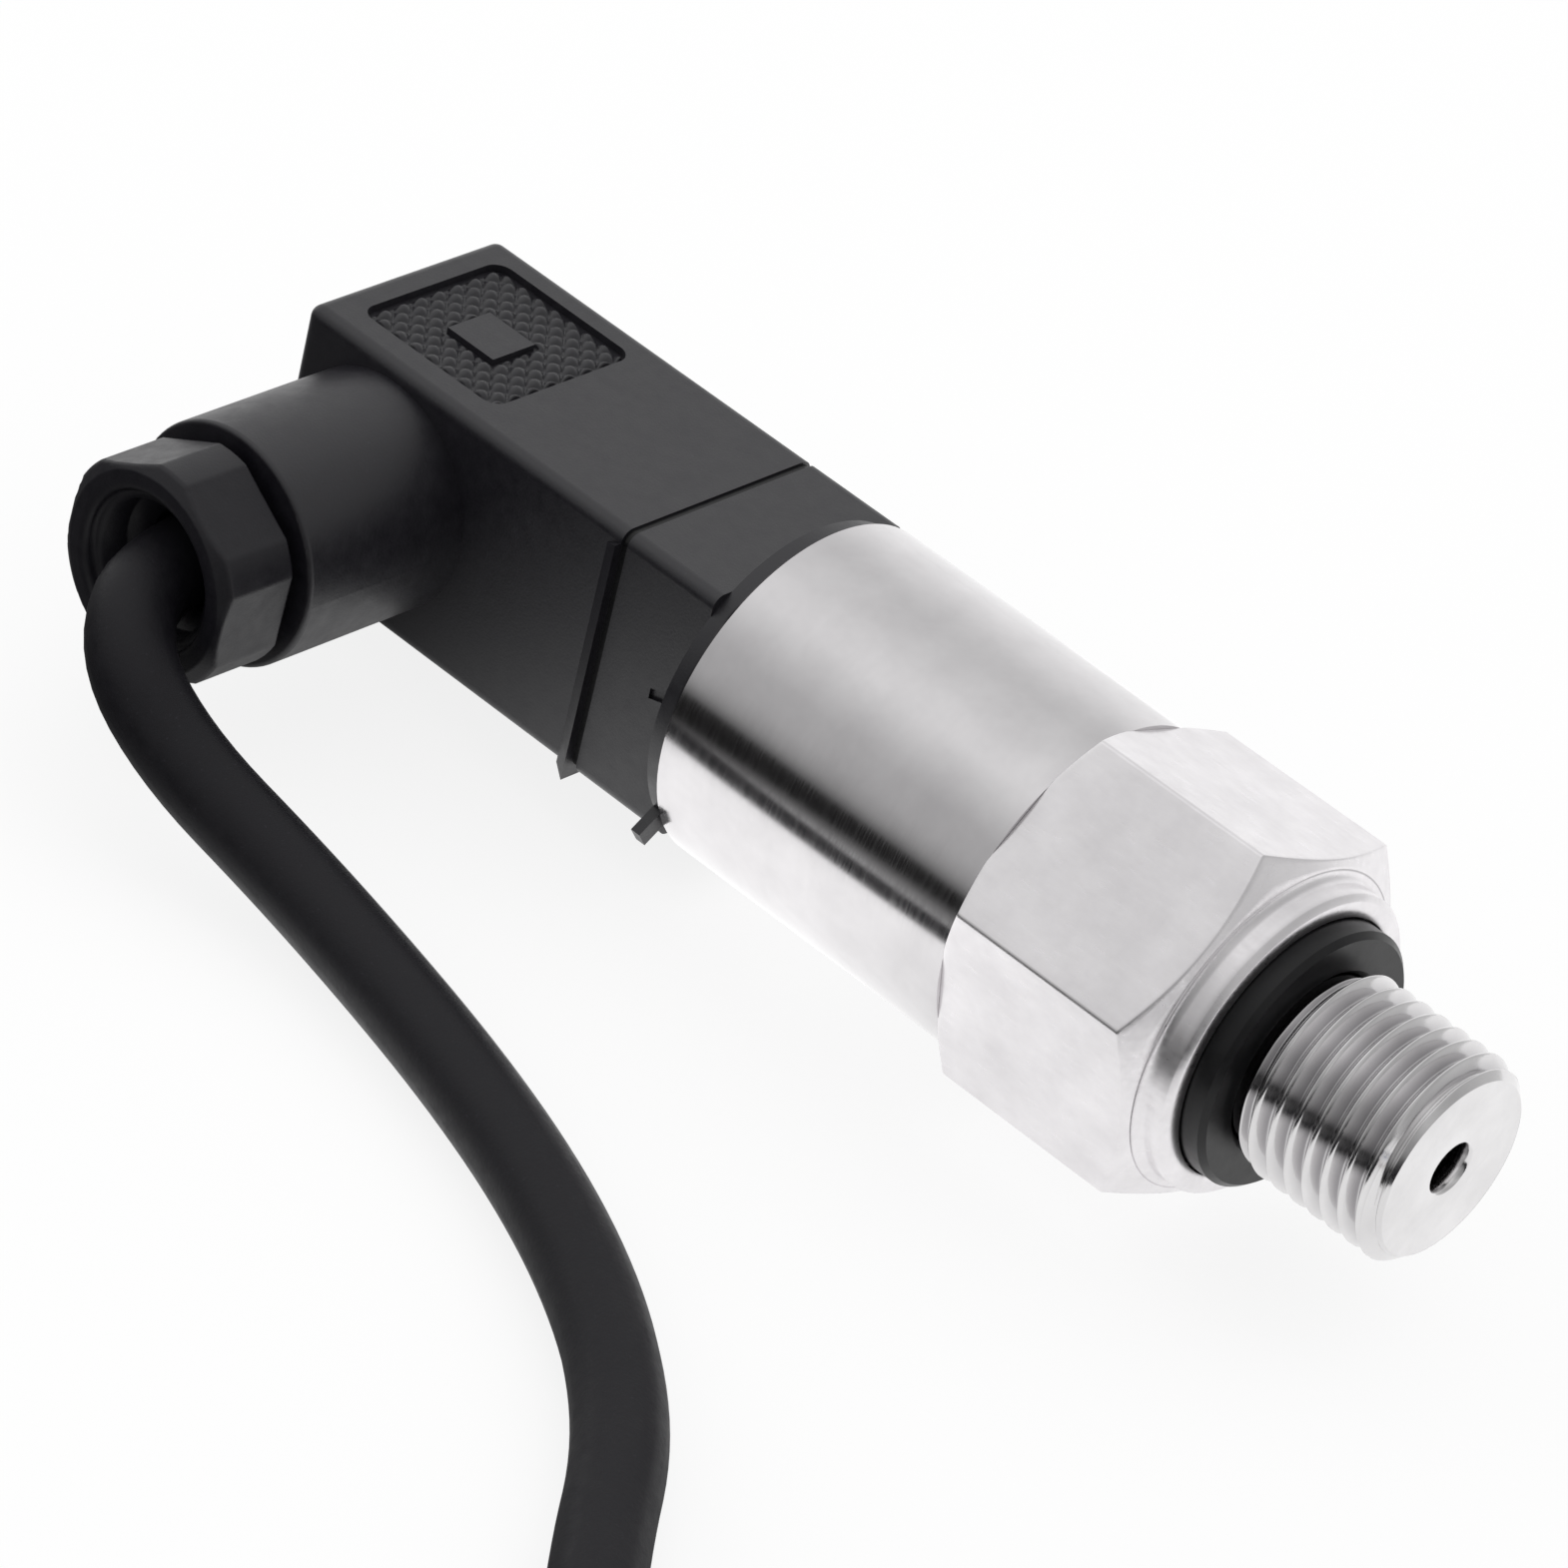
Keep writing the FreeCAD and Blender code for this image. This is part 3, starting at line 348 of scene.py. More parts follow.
def shade(tree, factor, dark, light):
    """A colour between dark and light."""
    return mix_color(tree, spread(tree, factor, 0.0, 1.0), dark, light)


def bumped(tree, shader, height, depth, strength=0.4):
    """Feeds the shader's normal from a height, depth in metres."""
    bump = tree.nodes.new("ShaderNodeBump")
    bump.inputs["Strength"].default_value = strength
    bump.inputs["Distance"].default_value = depth
    tree.links.new(height, bump.inputs["Height"])
    tree.links.new(bump.outputs["Normal"], shader.inputs["Normal"])


def moulded(name, dark, light, rough, grain=6000.0, depth=0.00003, scuff=0.3, shine=0.7):
    """A moulded finish with a satin eroded face, as on glass-filled plastic, rubber and ceramic."""
    material, tree, shader, detail = surface(name, GRAIN, grain_scale=grain, scuff_amount=scuff)
    tone = shade(tree, detail.outputs["Cloud"], dark, light)
    pale = tuple(4.0 * part for part in light)
    tree.links.new(mix_color(tree, detail.outputs["Scuff"], tone, pale), shader.inputs["Base Color"])
    gloss = spread(tree, detail.outputs["Cloud"], rough - 0.05, rough + 0.06)
    tree.links.new(gloss, shader.inputs["Roughness"])
    shader.inputs["Specular IOR Level"].default_value = shine
    bumped(tree, shader, detail.outputs["Height"], depth)
    return material


def steel(name, group, dark, light, rough, reach, depth):
    """Bare metal, its tone varied by the group's stains and its gloss by its fine lines."""
    material, tree, shader, detail = surface(name, group)
    shader.inputs["Metallic"].default_value = 1.0
    tree.links.new(shade(tree, detail.outputs["Stain"], dark, light), shader.inputs["Base Color"])
    tree.links.new(spread(tree, detail.outputs["Line"], rough, rough + reach), shader.inputs["Roughness"])
    bumped(tree, shader, detail.outputs["Height"], depth)
    return material


HOUSING = moulded("housing_plastic", (0.0084, 0.0077, 0.0115), (0.0128, 0.0119, 0.0165), 0.42)
GLAND = moulded("gland_plastic", (0.0080, 0.0074, 0.0108), (0.0122, 0.0114, 0.0155), 0.40, shine=0.45)
BASE = moulded("base_plastic", (0.0092, 0.0086, 0.0122), (0.0140, 0.0131, 0.0175), 0.42)
SHEATH = moulded("cable_sheath", (0.0068, 0.0063, 0.0090), (0.0104, 0.0098, 0.0130), 0.50,
                 grain=3500.0, depth=0.00004, scuff=0.5, shine=0.3)
RUBBER = moulded("seal_rubber", (0.0060, 0.0060, 0.0068), (0.0110, 0.0110, 0.0120), 0.34,
                 grain=5000.0, depth=0.00001, scuff=0.1, shine=0.3)
CERAMIC = moulded("sensor_ceramic", (0.70, 0.69, 0.66), (0.80, 0.79, 0.76), 0.40,
                  grain=7000.0, depth=0.00001, scuff=0.0)
BOARD = moulded("board_laminate", (0.012, 0.060, 0.030), (0.018, 0.085, 0.042), 0.34,
                grain=9000.0, depth=0.00001, scuff=0.0)
TRIMMER = moulded("trimmer_plastic", (0.020, 0.060, 0.200), (0.028, 0.080, 0.260), 0.36,
                  depth=0.00001, scuff=0.0)
CORE_LOOK = {"grain": 4000.0, "depth": 0.00002, "scuff": 0.1}
BROWN = moulded("brown_insulation", (0.120, 0.045, 0.018), (0.150, 0.058, 0.024), 0.40, **CORE_LOOK)
BLUE = moulded("blue_insulation", (0.020, 0.070, 0.300), (0.028, 0.090, 0.360), 0.40, **CORE_LOOK)
BLACK = moulded("black_insulation", (0.012, 0.012, 0.013), (0.020, 0.020, 0.021), 0.40, **CORE_LOOK)
TUBE_STEEL = steel("case_steel", TURNED, (0.63, 0.615, 0.625), (0.70, 0.685, 0.695), 0.11, 0.09, 0.000003)
HEX_STEEL = steel("hexagon_steel", BRUSHED, (0.80, 0.78, 0.795), (0.90, 0.88, 0.895), 0.26, 0.14, 0.00001)
BRIGHT_STEEL = steel("thread_steel", TURNED, (0.68, 0.67, 0.675), (0.78, 0.77, 0.775), 0.10, 0.08, 0.000003)
BRASS = steel("brass", TURNED, (0.62, 0.44, 0.17), (0.72, 0.54, 0.24), 0.22, 0.12, 0.000004)
TIN = steel("tinned_copper", BRUSHED, (0.62, 0.62, 0.60), (0.72, 0.72, 0.70), 0.28, 0.12, 0.000006)

NODE_FINISH = {
    "process_fitting": HEX_STEEL, "profile_seal_ring": RUBBER, "sensor_cell": CERAMIC, "cell_seal": RUBBER,
    "cell_clamp_ring": TUBE_STEEL, "board_spacer": BASE, "circuit_board": BOARD, "amplifier_chip": BASE,
    "zero_trimmer": TRIMMER, "span_trimmer": TRIMMER, "cell_leads": TIN, "board_leads": TIN,
    "case_tube": TUBE_STEEL, "connector_base": BASE, "base_seal": RUBBER, "signal_blade": TIN,
    "supply_blade": TIN, "common_blade": TIN, "earth_blade": TIN, "screw_insert": BRASS,
    "plug_gasket": RUBBER, "plug_housing": HOUSING, "gland_nut": GLAND, "gland_washer": GLAND,
    "gland_grommet": RUBBER, "contact_carrier": BASE, "signal_socket": TIN, "supply_socket": TIN,
    "common_socket": TIN, "earth_socket": TIN, "terminal_screws": TUBE_STEEL, "retaining_screw": TUBE_STEEL,
    "screw_seal": RUBBER, "cable_inner_end": SHEATH, "signal_wire": BROWN, "supply_wire": BLUE,
    "earth_wire": BLACK, "brown_ferrule": TIN, "blue_ferrule": TIN, "black_ferrule": TIN,
}


def dress_nodes():
    """Gives each CAD node that stays its finish."""
    for name, material in NODE_FINISH.items():
        mesh = nodes[name].data
        mesh.materials.clear()
        mesh.materials.append(material)


# ------------------------------------------------------------------ process fitting
COLLAR_FRONT = 0.0
COLLAR_RADIUS = 0.00987
GROOVE_DEPTH = 0.0009           # the profile ring's groove in the collar's face
GROOVE_INNER = 0.0057
GROOVE_OUTER = 0.0085
ROOT_FILLET = 0.0006            # hollow between the collar and the hexagon's face
HEX_FRONT = -0.0019
HEX_REAR = -0.0161
HEX_HALF_FLATS = 0.0110
HEX_TURN = math.radians(-17.15)
HEX_EDGE = 0.00035              # rounding along the hexagon's corners
FACE_RADIUS = 0.0105            # where the front bevel starts
REAR_RADIUS = 0.0114
BEVEL_SLOPE = 0.57
BREAK = 0.00002                 # small step that keeps an edge crisp
SPIGOT_RADIUS = 0.0102          # what the case is pressed over
SPIGOT_END = HEX_REAR - 0.0045
CELL_RADIUS = 0.0088            # the measuring cell's pocket
CELL_FLOOR = -0.0092
STUD_LENGTH = 0.0125
THREAD_RADIUS = 0.0065785
THREAD_PITCH = 0.001337
THREAD_DEPTH = 0.00086
RELIEF_RADIUS = 0.0056
RELIEF_LENGTH = 0.0022
RUN_OUT = 1.1                   # how fast the thread grows out of the relief
TIP_BEVEL = 0.00088
PORT_RADIUS = 0.0016
PORT_BEVEL = 0.00022
STUD_FOOT = -0.0011             # where the stud starts, inside the fitting
ROOT_SHADE = (0.52, 0.51, 0.52)      # painted shade: the colour in the thread's roots


def hexagon_angles(on_flat=18, on_corner=9):
    """Angles round X, close together at the rounded corners, and the hexagon's radius at each.

    A flat is half_flats / cos(angle from its middle), and a corner is a circle of HEX_EDGE that touches both
    flats."""
    third = math.pi / 6.0
    inner = HEX_HALF_FLATS - HEX_EDGE
    flat_end = math.atan(inner * math.tan(third) / HEX_HALF_FLATS)
    flat_part = np.linspace(0.0, flat_end, on_flat)[:-1]
    half = np.concatenate((flat_part, np.linspace(flat_end, third, on_corner)))
    local = np.concatenate((-half[::-1], half[1:-1]))
    centre = inner / math.cos(third)
    to_corner = third - np.abs(local)
    round_radius = centre * np.cos(to_corner) + np.sqrt(
        np.maximum(HEX_EDGE ** 2 - (centre * np.sin(to_corner)) ** 2, 0.0))
    flat_radius = HEX_HALF_FLATS / np.cos(local)
    radius = np.where(np.abs(local) <= flat_end, flat_radius, round_radius)
    turns = np.arange(6)[:, None] * 2.0 * third
    return (turns + local[None, :]).ravel() + HEX_TURN, np.tile(radius, 6)


def ring_points(x, radius, angles):
    """Points at x and radius (each one value a row, or one a point) for every angle."""
    x, radius, angles = np.broadcast_arrays(x, radius, angles)
    return np.stack((x, -radius * np.sin(angles), radius * np.cos(angles)), axis=-1)


def arc(start, end, centre, steps=5):
    """Points of a circle from start to end round a centre, in the plane of x and radius."""
    start, end, centre = (np.array(p) for p in (start, end, centre))
    first = math.atan2(*(start - centre)[::-1])
    last = math.atan2(*(end - centre)[::-1])
    turn = (last - first + math.pi) % (2.0 * math.pi) - math.pi
    angle = first + turn * np.linspace(0.0, 1.0, steps)
    size = np.linalg.norm(start - centre)
    return [(centre[0] + size * math.cos(a), centre[1] + size * math.sin(a)) for a in angle]


def fitting_mesh():
    """The process fitting as one skin, row by row along its profile.

    Every row is a ring of points.  On the hexagon a row follows the six flats and their rounded corners, and
    on the two bevels x falls with the radius by BEVEL_SLOPE, so the flats end in curved tips."""
    angles, corner = hexagon_angles()
    rows = []

    def revolve(profile):
        for x, radius in profile:
            rows.append(ring_points(x, radius, angles))

    def bevel(radius, slope_from):
        return BEVEL_SLOPE * (radius - slope_from)

    # face groove, collar front with its rim, collar, and the hollow root up to the hexagon's front face
    groove = COLLAR_FRONT - GROOVE_DEPTH
    revolve([(groove, GROOVE_INNER), (groove, 0.0070)])
    revolve([(groove, GROOVE_OUTER - 0.0001), (groove, GROOVE_OUTER)])
    revolve([(COLLAR_FRONT - 0.0004, GROOVE_OUTER), (COLLAR_FRONT - 0.00005, GROOVE_OUTER)])
    revolve([(COLLAR_FRONT, GROOVE_OUTER + 0.00005), (COLLAR_FRONT, 0.0090)])
    revolve([(COLLAR_FRONT, COLLAR_RADIUS - 0.00042), (COLLAR_FRONT - 0.00004, COLLAR_RADIUS - 0.00034)])
    revolve([(COLLAR_FRONT - 0.00030, COLLAR_RADIUS - 0.00006), (COLLAR_FRONT - 0.00038, COLLAR_RADIUS)])
    revolve([(COLLAR_FRONT - 0.0009, COLLAR_RADIUS)])
    hollow = (HEX_FRONT + ROOT_FILLET, COLLAR_RADIUS + ROOT_FILLET)
    revolve(arc((hollow[0], COLLAR_RADIUS), (HEX_FRONT, hollow[1]), hollow, 7))
    revolve([(HEX_FRONT, FACE_RADIUS - 0.00003)])
    # front bevel, outwards to each angle's own radius, then the edge and along the flats
    for share in (0.0, 0.25, 0.5, 0.75, 0.93):
        radius = FACE_RADIUS + share * (corner - FACE_RADIUS)
        rows.append(ring_points(HEX_FRONT - bevel(radius, FACE_RADIUS), radius, angles))
    front = HEX_FRONT - bevel(corner, FACE_RADIUS)
    rear = HEX_REAR + bevel(np.maximum(corner, REAR_RADIUS), REAR_RADIUS)
    rows.append(ring_points(front - BREAK / 2.0, corner - BREAK, angles))
    rows.append(ring_points(front - 3.0 * BREAK, corner, angles))
    for share in (0.02, 0.1, 0.3, 0.5, 0.7, 0.9, 0.98):
        rows.append(ring_points(front + share * (rear - front), corner, angles))
    rows.append(ring_points(rear + 0.00005, corner, angles))
    rows.append(ring_points(rear, corner - BREAK, angles))
    # rear bevel, inwards; where a flat lies inside it, its rows fall together
    for share in (0.75, 0.5, 0.25, 0.0):
        radius = np.minimum(corner, REAR_RADIUS + share * (corner - REAR_RADIUS))
        x = HEX_REAR + bevel(np.maximum(radius, REAR_RADIUS), REAR_RADIUS)
        rows.append(ring_points(x, radius - 0.00003, angles))
    # behind: the spigot in the case, the pocket for the cell, and the port back to the face groove
    revolve([(HEX_REAR, 0.0108), (HEX_REAR, SPIGOT_RADIUS + 0.0001), (HEX_REAR - 0.0001, SPIGOT_RADIUS)])
    revolve([(SPIGOT_END + 0.0001, SPIGOT_RADIUS), (SPIGOT_END, SPIGOT_RADIUS - 0.0001)])
    revolve([(SPIGOT_END, CELL_RADIUS + 0.0002), (SPIGOT_END + 0.0001, CELL_RADIUS)])
    revolve([(CELL_FLOOR - 0.0002, CELL_RADIUS), (CELL_FLOOR, CELL_RADIUS - 0.0002), (CELL_FLOOR, 0.0040)])
    revolve([(CELL_FLOOR, PORT_RADIUS + 0.0001), (CELL_FLOOR + 0.0001, PORT_RADIUS)])
    revolve([(-0.0060, PORT_RADIUS), (STUD_FOOT - 0.0001, PORT_RADIUS)])
    return grid_mesh("hexagon", np.array(rows)[:, ::-1], closed_rows=False, closed_columns=True)


def thread_height(turns):
    """A rounded 55 degree thread's height over its root, 0 to 1, against turns along the axis.

    The sine's arc, taken just short of its peak, gives straight flanks with rounded crests and roots."""
    softness = 0.94
    return 0.5 + 0.5 * np.arcsin(softness * np.sin(2.0 * math.pi * turns)) / math.asin(softness)


def stud_mesh(around=160, per_turn=20):
    """The threaded stud with its relief, bevelled tip and port, thread and all as one skin.

    The radius at x and angle is the thread's, with phase x / pitch minus angle / turn, and it runs out
    into the relief and under the tip's bevel."""
    angles = np.linspace(0.0, 2.0 * math.pi, around, endpoint=False)
    step = THREAD_PITCH / per_turn
    bevel_start = STUD_LENGTH - TIP_BEVEL
    x = np.arange(RELIEF_LENGTH - 0.0005, STUD_LENGTH - 0.00002, step)[:, None]
    core = THREAD_RADIUS - THREAD_DEPTH
    thread = core + THREAD_DEPTH * thread_height(x / THREAD_PITCH - angles[None, :] / (2.0 * math.pi))
    start = RELIEF_RADIUS + (x - RELIEF_LENGTH + 0.0004) * RUN_OUT
    tip = THREAD_RADIUS - (x - bevel_start)
    radius = np.minimum(np.minimum(thread, start), tip)
    radius = np.maximum(radius, np.minimum(RELIEF_RADIUS, tip))
    rows = [ring_points(STUD_FOOT, GROOVE_INNER, angles), ring_points(-GROOVE_DEPTH, RELIEF_RADIUS, angles)]
    rows += [ring_points(place, RELIEF_RADIUS, angles) for place in (0.0, 0.0008, 0.0014)]
    rows += list(ring_points(x, radius, angles[None, :]))
    face = THREAD_RADIUS - TIP_BEVEL
    rows += [ring_points(STUD_LENGTH, face - inwards, angles) for inwards in (0.0, 0.0001, 0.0014, 0.0028)]
    port = [(STUD_LENGTH, PORT_RADIUS + PORT_BEVEL), (STUD_LENGTH - 0.00004, PORT_RADIUS + 0.00012),
            (STUD_LENGTH - 0.00020, PORT_RADIUS), (STUD_LENGTH - 0.001, PORT_RADIUS), (0.004, PORT_RADIUS),
            (STUD_FOOT, PORT_RADIUS)]
    rows += [ring_points(place, size, angles) for place, size in port]
    return grid_mesh("stud", np.array(rows), closed_rows=True, closed_columns=True)


def paint_root_shade():
    """Painted shade in the thread's roots and relief: the colour falls towards the axis, but not on the tip.
    """
    tree = BRIGHT_STEEL.node_tree
    place = object_place(tree)
    squares = math_node(tree, "MULTIPLY", place["Y"], place["Y"])
    squares = math_node(tree, "MULTIPLY_ADD", place["Z"], place["Z"], squares)
    distance = math_node(tree, "SQRT", squares)
    low, high = THREAD_RADIUS - 0.85 * THREAD_DEPTH, THREAD_RADIUS - 0.15 * THREAD_DEPTH
    crest = part_range(tree, distance, low, high, 0.0, 1.0)
    tip = math_node(tree, "GREATER_THAN", place["X"], STUD_LENGTH - TIP_BEVEL)
    unshaded = math_node(tree, "MAXIMUM", crest, tip)
    base = tree.nodes["Principled BSDF"].inputs["Base Color"]
    bright = base.links[0].from_socket
    # the painted shade is mixed into the base colour below the crests
    tree.links.new(mix_color(tree, unshaded, ROOT_SHADE, bright), base)


def process_fitting():
    """The hexagon with its collar, and the threaded stud."""
    hexagon = finish_piece(bpy.data.objects.new("hexagon_body", fitting_mesh()), HEX_STEEL)
    paint_root_shade()
    finish_piece(bpy.data.objects.new("threaded_stud", stud_mesh()), BRIGHT_STEEL)
    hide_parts("process_fitting")


# ------------------------------------------------------------------ grip pad
PAD_START = 0.0021              # from the plug's end to the recess
PAD_LENGTH = 0.0116
PAD_HALF_WIDTH = 0.005815
PAD_SHIFT = 0.000185            # the recess's middle in y
PAD_DEPTH = 0.0005
PAD_INSET = 0.00035             # kept clear inside the recess's walls
POINT_PITCH_X = 0.00140
POINT_PITCH_Y = 0.00150
POINT_HEIGHT = 0.00034
POINT_LIFT = 0.00002            # clears the recess's floor
PLATE_HALF_X = 0.0021           # the clear field round the raised plate
PLATE_HALF_Y = 0.0019
PLATE_SHIFT = -0.00026


def grip_points():
    """Rows of small rounded pyramids in the plug's recess, around the raised plate.

    The height is the product of two waves that cross on the diagonal, rounded by a power, and it falls to
    nothing at the recess's edge and round the plate."""
    low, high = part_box("plug_housing")
    start = low.x + PAD_START
    side = PAD_SHIFT - PAD_HALF_WIDTH
    floor_height = high.z - PAD_DEPTH
    x = np.linspace(start + PAD_INSET, start + PAD_LENGTH - PAD_INSET, 190)[:, None]
    y = np.linspace(side + PAD_INSET, PAD_SHIFT + PAD_HALF_WIDTH - PAD_INSET, 190)[None, :]
    across = (x - start) / POINT_PITCH_X
    along = (y - side) / POINT_PITCH_Y
    wave = np.abs(np.sin(math.pi * (across + along)) * np.sin(math.pi * (across - along)))
    edge = np.minimum(np.minimum(x - x.min(), x.max() - x), np.minimum(y - y.min(), y.max() - y))
    middle = start + PAD_LENGTH / 2.0
    clear = np.maximum(np.abs(x - middle) - PLATE_HALF_X, np.abs(y - PLATE_SHIFT) - PLATE_HALF_Y)
    rise = POINT_HEIGHT * wave ** 0.7 * smooth(edge / 0.0002) * smooth(clear / 0.00015)
    points = np.stack(np.broadcast_arrays(x, y, floor_height + POINT_LIFT + rise), axis=-1)
    mesh = grid_mesh("grip_points", points[::-1])
    finish_piece(bpy.data.objects.new("grip_points", mesh), HOUSING)


# ------------------------------------------------------------------ gland nut
NUT_X = CORD_ROUTE[0][0]
NUT_HALF_FLATS = 0.00655
NUT_CORNER = 0.0070
NUT_BACK = -0.0211              # y of the head's two faces
NUT_FRONT = -0.02640
NUT_TURN = math.radians(-3.0)
NUT_FACE = 0.0062               # where the front bevel starts
NUT_BEVEL = 1.5                 # how fast the front bevel's radius grows behind the face
NUT_SHANK = 0.00528
NUT_BORE = 0.0030
NUT_THROAT = 0.0043
MOUTH_LIP = 0.0006              # rounding of the mouth's edge
MOUTH_RADIUS = 0.0049


def gland_nut():
    """The gland's pressure nut as one skin: shank, six flats with blunt corners, bevelled front, round lip.

    Each row is a ring round the cable's exit.  On the head a row's radius is half_flats / cos(angle from a
    flat's middle), held under the corner's radius and under the bevel's cone."""
    turn = np.linspace(0.0, 2.0 * math.pi, 288, endpoint=False)
    sixth = math.pi / 3.0
    local = (turn - NUT_TURN + sixth / 2.0) % sixth - sixth / 2.0
    head = np.minimum(NUT_HALF_FLATS / np.cos(local), NUT_CORNER)
    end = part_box("gland_nut")[1].y
    back = NUT_BACK - 0.00015
    front = NUT_FRONT + 0.0007
    shank = [(end, NUT_BORE), (end, NUT_BORE + 0.0001), (end, 0.0050), (end - 0.0003, NUT_SHANK),
             (NUT_BACK, NUT_SHANK), (NUT_BACK, NUT_SHANK + 0.00007)]
    flats = [(NUT_BACK, head - 0.00006), (NUT_BACK - 0.00006, head)]
    flats += [(back + share * (front - back), head) for share in (0.0, 0.35, 0.7, 1.0)]
    bevel = [(NUT_FRONT + behind, np.minimum(head, NUT_FACE + NUT_BEVEL * behind))
             for behind in (0.00055, 0.0004, 0.00028, 0.00016, 0.00006)]
    face = [(NUT_FRONT, NUT_FACE), (NUT_FRONT, NUT_FACE - 0.0001), (NUT_FRONT, 0.0057)]
    lip = arc((NUT_FRONT, MOUTH_RADIUS + MOUTH_LIP), (NUT_FRONT + MOUTH_LIP, MOUTH_RADIUS),
              (NUT_FRONT + MOUTH_LIP, MOUTH_RADIUS + MOUTH_LIP), 6)
    throat = [(-0.02565, 0.0047), (-0.0255, NUT_THROAT), (-0.0237, NUT_THROAT),
              (-0.0236, NUT_THROAT - 0.0001), (-0.0229, NUT_BORE), (-0.0228, NUT_BORE)]
    rings = []
    for y, radius in shank + flats + bevel + face + lip + throat:
        x, z = NUT_X + radius * np.cos(turn), radius * np.sin(turn)
        rings.append(np.stack((x, np.full(turn.size, y), z), axis=-1))
    mesh = grid_mesh("hexagon_nut", np.array(rings), closed_rows=True, closed_columns=True)
    piece = finish_piece(bpy.data.objects.new("hexagon_nut", mesh), GLAND, "gland")
    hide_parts("gland_nut")


# ------------------------------------------------------------------ free cable
TIE_RADIUS = 0.0006
TIE_PLAY = 0.0005               # between the tie's middle line and the turns
TIES = (("first_tie", 50.0), ("second_tie", 120.0))     # name and degrees on from where the coil begins
BARE_END = 0.013                # straight end of the cable behind the coil
CORE_RADIUS = 0.00055
CORES = ((-1, "brown", BROWN), (0, "blue", BLUE), (1, "black", BLACK))


def coil_tie(name, degrees):
    """A wire tie round all the coil's turns."""
    start = math.atan2(CORD_ROUTE[-1][1] - COIL_MIDDLE[1], CORD_ROUTE[-1][0] - COIL_MIDDLE[0])
    angle = start + math.radians(degrees)
    way = np.array((math.cos(angle), math.sin(angle)))
    half = CORD_RADIUS * COIL_LAYER + TIE_PLAY
    low, high = LOW - CORD_RADIUS + TIE_RADIUS, LOW + 3.0 * CORD_RADIUS + TIE_PLAY
    knot = (0.002, high + 0.0004)
    loop = [(0.0, high), (0.7 * half, high), (half, high), (half, low), (0.0, low), (-half, low),
            (-half, high), (-0.7 * half, high), (0.0, high), knot]
    middle = np.array(COIL_MIDDLE)
    route = np.array([(*(middle + way * (COIL_MEAN + out)), z) for out, z in loop])
    return curve_piece(name, route, TIE_RADIUS, BLACK)


def free_core(name, material, end, heading, out):
    """One core from inside the cable's end to its ferrule, which stays a CAD node."""
    low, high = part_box(name + "_ferrule")
    tip = np.array((low + high) / 2.0) - heading * 0.0036
    start = end - heading * 0.004 + out * 0.0011
    leaving = end + heading * 0.004 + out * 0.0014
    route = np.array((start, leaving, (start + tip) / 2.0, tip - heading * 0.003, tip))
    core = curve_piece(name + "_lead", route, CORE_RADIUS, material)
    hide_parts(name + "_core")
    return [core, nodes[name + "_ferrule"]]


def free_cable():
    """The cable from the gland to the coil, its coil, the ties, and its three free cores."""
    coil = coil_points()
    heading = coil[-1] - coil[-2]
    heading /= np.linalg.norm(heading)
    end = coil[-1] + heading * BARE_END
    cable = curve_piece("cable", np.vstack((CORD_ROUTE, coil, [end])), CORD_RADIUS, SHEATH)
    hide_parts("cable_tube", "cable_coil")
    side = np.array((heading[1], -heading[0], 0.0))
    pieces = []
    for lean, name, material in CORES:
        pieces += free_core(name, material, end, heading, side * lean)
    pieces += [coil_tie(name, degrees) for name, degrees in TIES]


# ------------------------------------------------------------------ floor and light
PAPER = 0.8                     # what the object is lit by
SHADOW_PAPER = 0.22             # how much of the floor's own light is seen, with the object's shadow in it
PAPER_GLOW = 0.835
FLOOR_SIZE = 6.0
FLOOR_DROP = 0.00002
FLOOR_FAR = -0.080              # y where the floor's painted reflection is darkest, and where it is white
FLOOR_NEAR = -0.014
FLOOR_TONE = ((0.0, 0.09), (0.11, 0.12), (0.35, 0.20), (0.545, 0.38), (0.66, 0.72), (0.742, 0.95),
              (1.0, 0.97))
# the studio's level against the part of a half turn round X, from the camera's horizon over the top
STUDIO = ((0.0, 0.12), (0.04, 0.36), (0.10, 0.50), (0.20, 0.55), (0.25, 0.64), (0.35, 0.85), (0.40, 0.95),
          (0.46, 0.95), (0.57, 0.84), (0.70, 0.74), (0.77, 0.79), (0.86, 0.91), (0.97, 1.04), (1.0, 1.1))
ROOM = 0.55
LIT_POINT = (-0.03, 0.0, 0.0)


def by_ray(tree, ray, plain, special):
    """One shader for a kind of ray, and another for all others."""
    mix = tree.nodes.new("ShaderNodeMixShader")
    tree.links.new(tree.nodes.new("ShaderNodeLightPath").outputs[ray], mix.inputs[0])
    tree.links.new(plain, mix.inputs[1])
    tree.links.new(special, mix.inputs[2])
    return mix.outputs[0]


def even(tree, kind, level):
    """A diffuse or background shader of one grey."""
    node = tree.nodes.new(kind)
    node.inputs["Color"].default_value = (level, level, level, 1.0)
    return node.outputs[0]


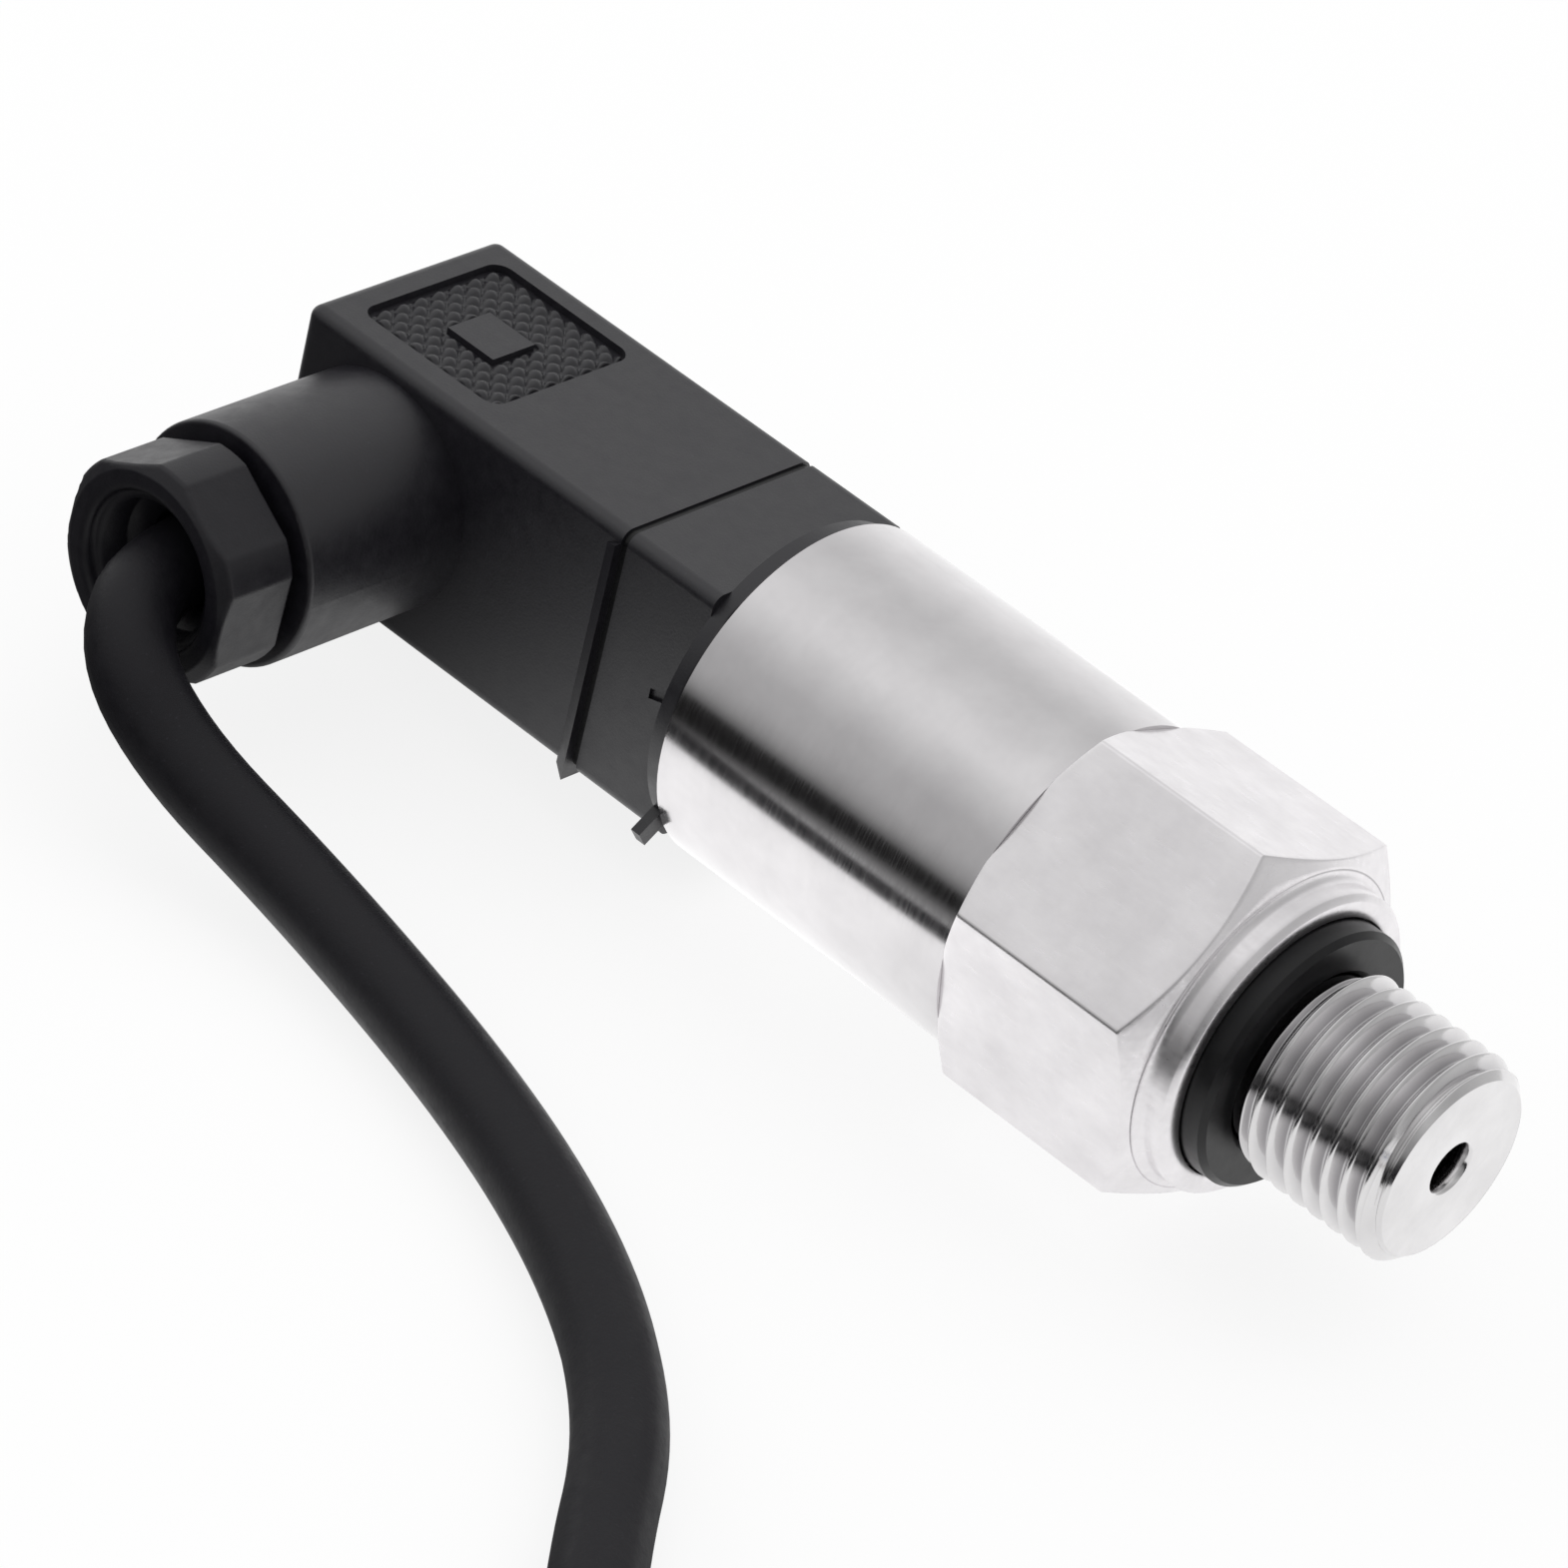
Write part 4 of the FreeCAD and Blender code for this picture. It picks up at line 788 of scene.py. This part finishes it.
def painted_floor_reflection(tree):
    """What the steel and plastic mirror of the floor, a painted reflection glowing to glossy rays:
    white near the part, darker towards the camera's side.

    It is darkest far out on that side and beside the plug, where it is painted shade, and plain white behind
    the part."""
    place = object_place(tree)
    along = value_ramp(tree, part_range(tree, place["Y"], FLOOR_FAR, FLOOR_NEAR, 0.0, 1.0), FLOOR_TONE)
    # painted shade in the floor's reflection beside the plug, brighter between the plug and the hexagon
    painted_plug_shade = part_range(tree, place["X"], -0.068, -0.048, 0.12, 1.3)
    by_hexagon = part_range(tree, place["X"], -0.030, -0.018, 1.3, 1.02)
    before = math_node(tree, "MULTIPLY", along, math_node(tree, "MINIMUM", painted_plug_shade, by_hexagon))
    behind = part_range(tree, place["Y"], -0.008, 0.004, 0.0, 1.06)
    glow = tree.nodes.new("ShaderNodeEmission")
    tree.links.new(math_node(tree, "MAXIMUM", before, behind), glow.inputs["Strength"])
    return glow.outputs[0]


def backdrop_material():
    """White paper: plain to the object's diffuse light, a painted reflection in its gloss, and near white
    where it is seen, with the object's shadow kept.
    """
    material = bpy.data.materials.new("backdrop")
    material.use_nodes = True
    tree = material.node_tree
    tree.nodes.clear()
    out = tree.nodes.new("ShaderNodeOutputMaterial")
    glow = tree.nodes.new("ShaderNodeEmission")
    glow.inputs["Strength"].default_value = PAPER_GLOW
    bright = tree.nodes.new("ShaderNodeAddShader")
    tree.links.new(even(tree, "ShaderNodeBsdfDiffuse", SHADOW_PAPER), bright.inputs[0])
    tree.links.new(glow.outputs[0], bright.inputs[1])
    paper = even(tree, "ShaderNodeBsdfDiffuse", PAPER)
    # glossy rays see the painted floor reflection, other rays the plain paper
    lit = by_ray(tree, "Is Glossy Ray", paper, painted_floor_reflection(tree))
    tree.links.new(by_ray(tree, "Is Camera Ray", lit, bright.outputs[0]), out.inputs["Surface"])
    return material


def floor():
    """A wide white floor under the lowest point."""
    size = FLOOR_SIZE
    height = cad_box[0].z - FLOOR_DROP
    corners = [[(x, y, height) for x in (-size, size)] for y in (-size, size)]
    piece = bpy.data.objects.new("floor", grid_mesh("floor", np.array(corners)))
    piece.data.materials.append(backdrop_material())
    scene.collection.objects.link(piece)


def world():
    """An even room as light.  Reflections show a studio, dim behind the camera and falling towards +X."""
    room = bpy.data.worlds.new("room")
    scene.world = room
    room.use_nodes = True
    tree = room.node_tree
    tree.nodes.clear()
    out = tree.nodes.new("ShaderNodeOutputWorld")
    split = tree.nodes.new("ShaderNodeSeparateXYZ")
    tree.links.new(tree.nodes.new("ShaderNodeTexCoord").outputs["Generated"], split.inputs[0])
    towards = math_node(tree, "MULTIPLY", split.outputs["Y"], -1.0)
    turn = math_node(tree, "ARCTAN2", split.outputs["Z"], towards)
    level = value_ramp(tree, math_node(tree, "DIVIDE", turn, math.pi), STUDIO)
    studio = tree.nodes.new("ShaderNodeBackground")
    tree.links.new(level, studio.inputs["Color"])
    tree.links.new(part_range(tree, split.outputs["X"], -0.10, 0.30, 1.0, 0.62), studio.inputs["Strength"])
    lit = by_ray(tree, "Is Glossy Ray", even(tree, "ShaderNodeBackground", ROOM), studio.outputs[0])
    white = even(tree, "ShaderNodeBackground", 1.0)
    tree.links.new(by_ray(tree, "Is Camera Ray", lit, white), out.inputs["Surface"])


def soft_box(name, place, width, height, power):
    """An area lamp at a place, turned to the part and not mirrored in it."""
    data = bpy.data.lights.new(name, "AREA")
    data.shape = "RECTANGLE"
    data.size = width
    data.size_y = height
    data.energy = power
    lamp = bpy.data.objects.new(name, data)
    lamp.location = place
    lamp.rotation_mode = "QUATERNION"
    lamp.rotation_quaternion = (Vector(LIT_POINT) - Vector(place)).to_track_quat("-Z", "Y")
    lamp.visible_glossy = False
    scene.collection.objects.link(lamp)


def lights():
    """A broad lamp overhead behind the part, and a weaker one from the camera's left."""
    soft_box("overhead", (-0.15, 0.50, 1.10), 2.0, 1.4, 3.6)
    soft_box("left", (-0.75, -0.35, 0.45), 0.6, 0.6, 0.8)


make_camera()
dress_nodes()
process_fitting()
grip_points()
gland_nut()
free_cable()
floor()
world()
lights()

scene.view_settings.view_transform = "Standard"
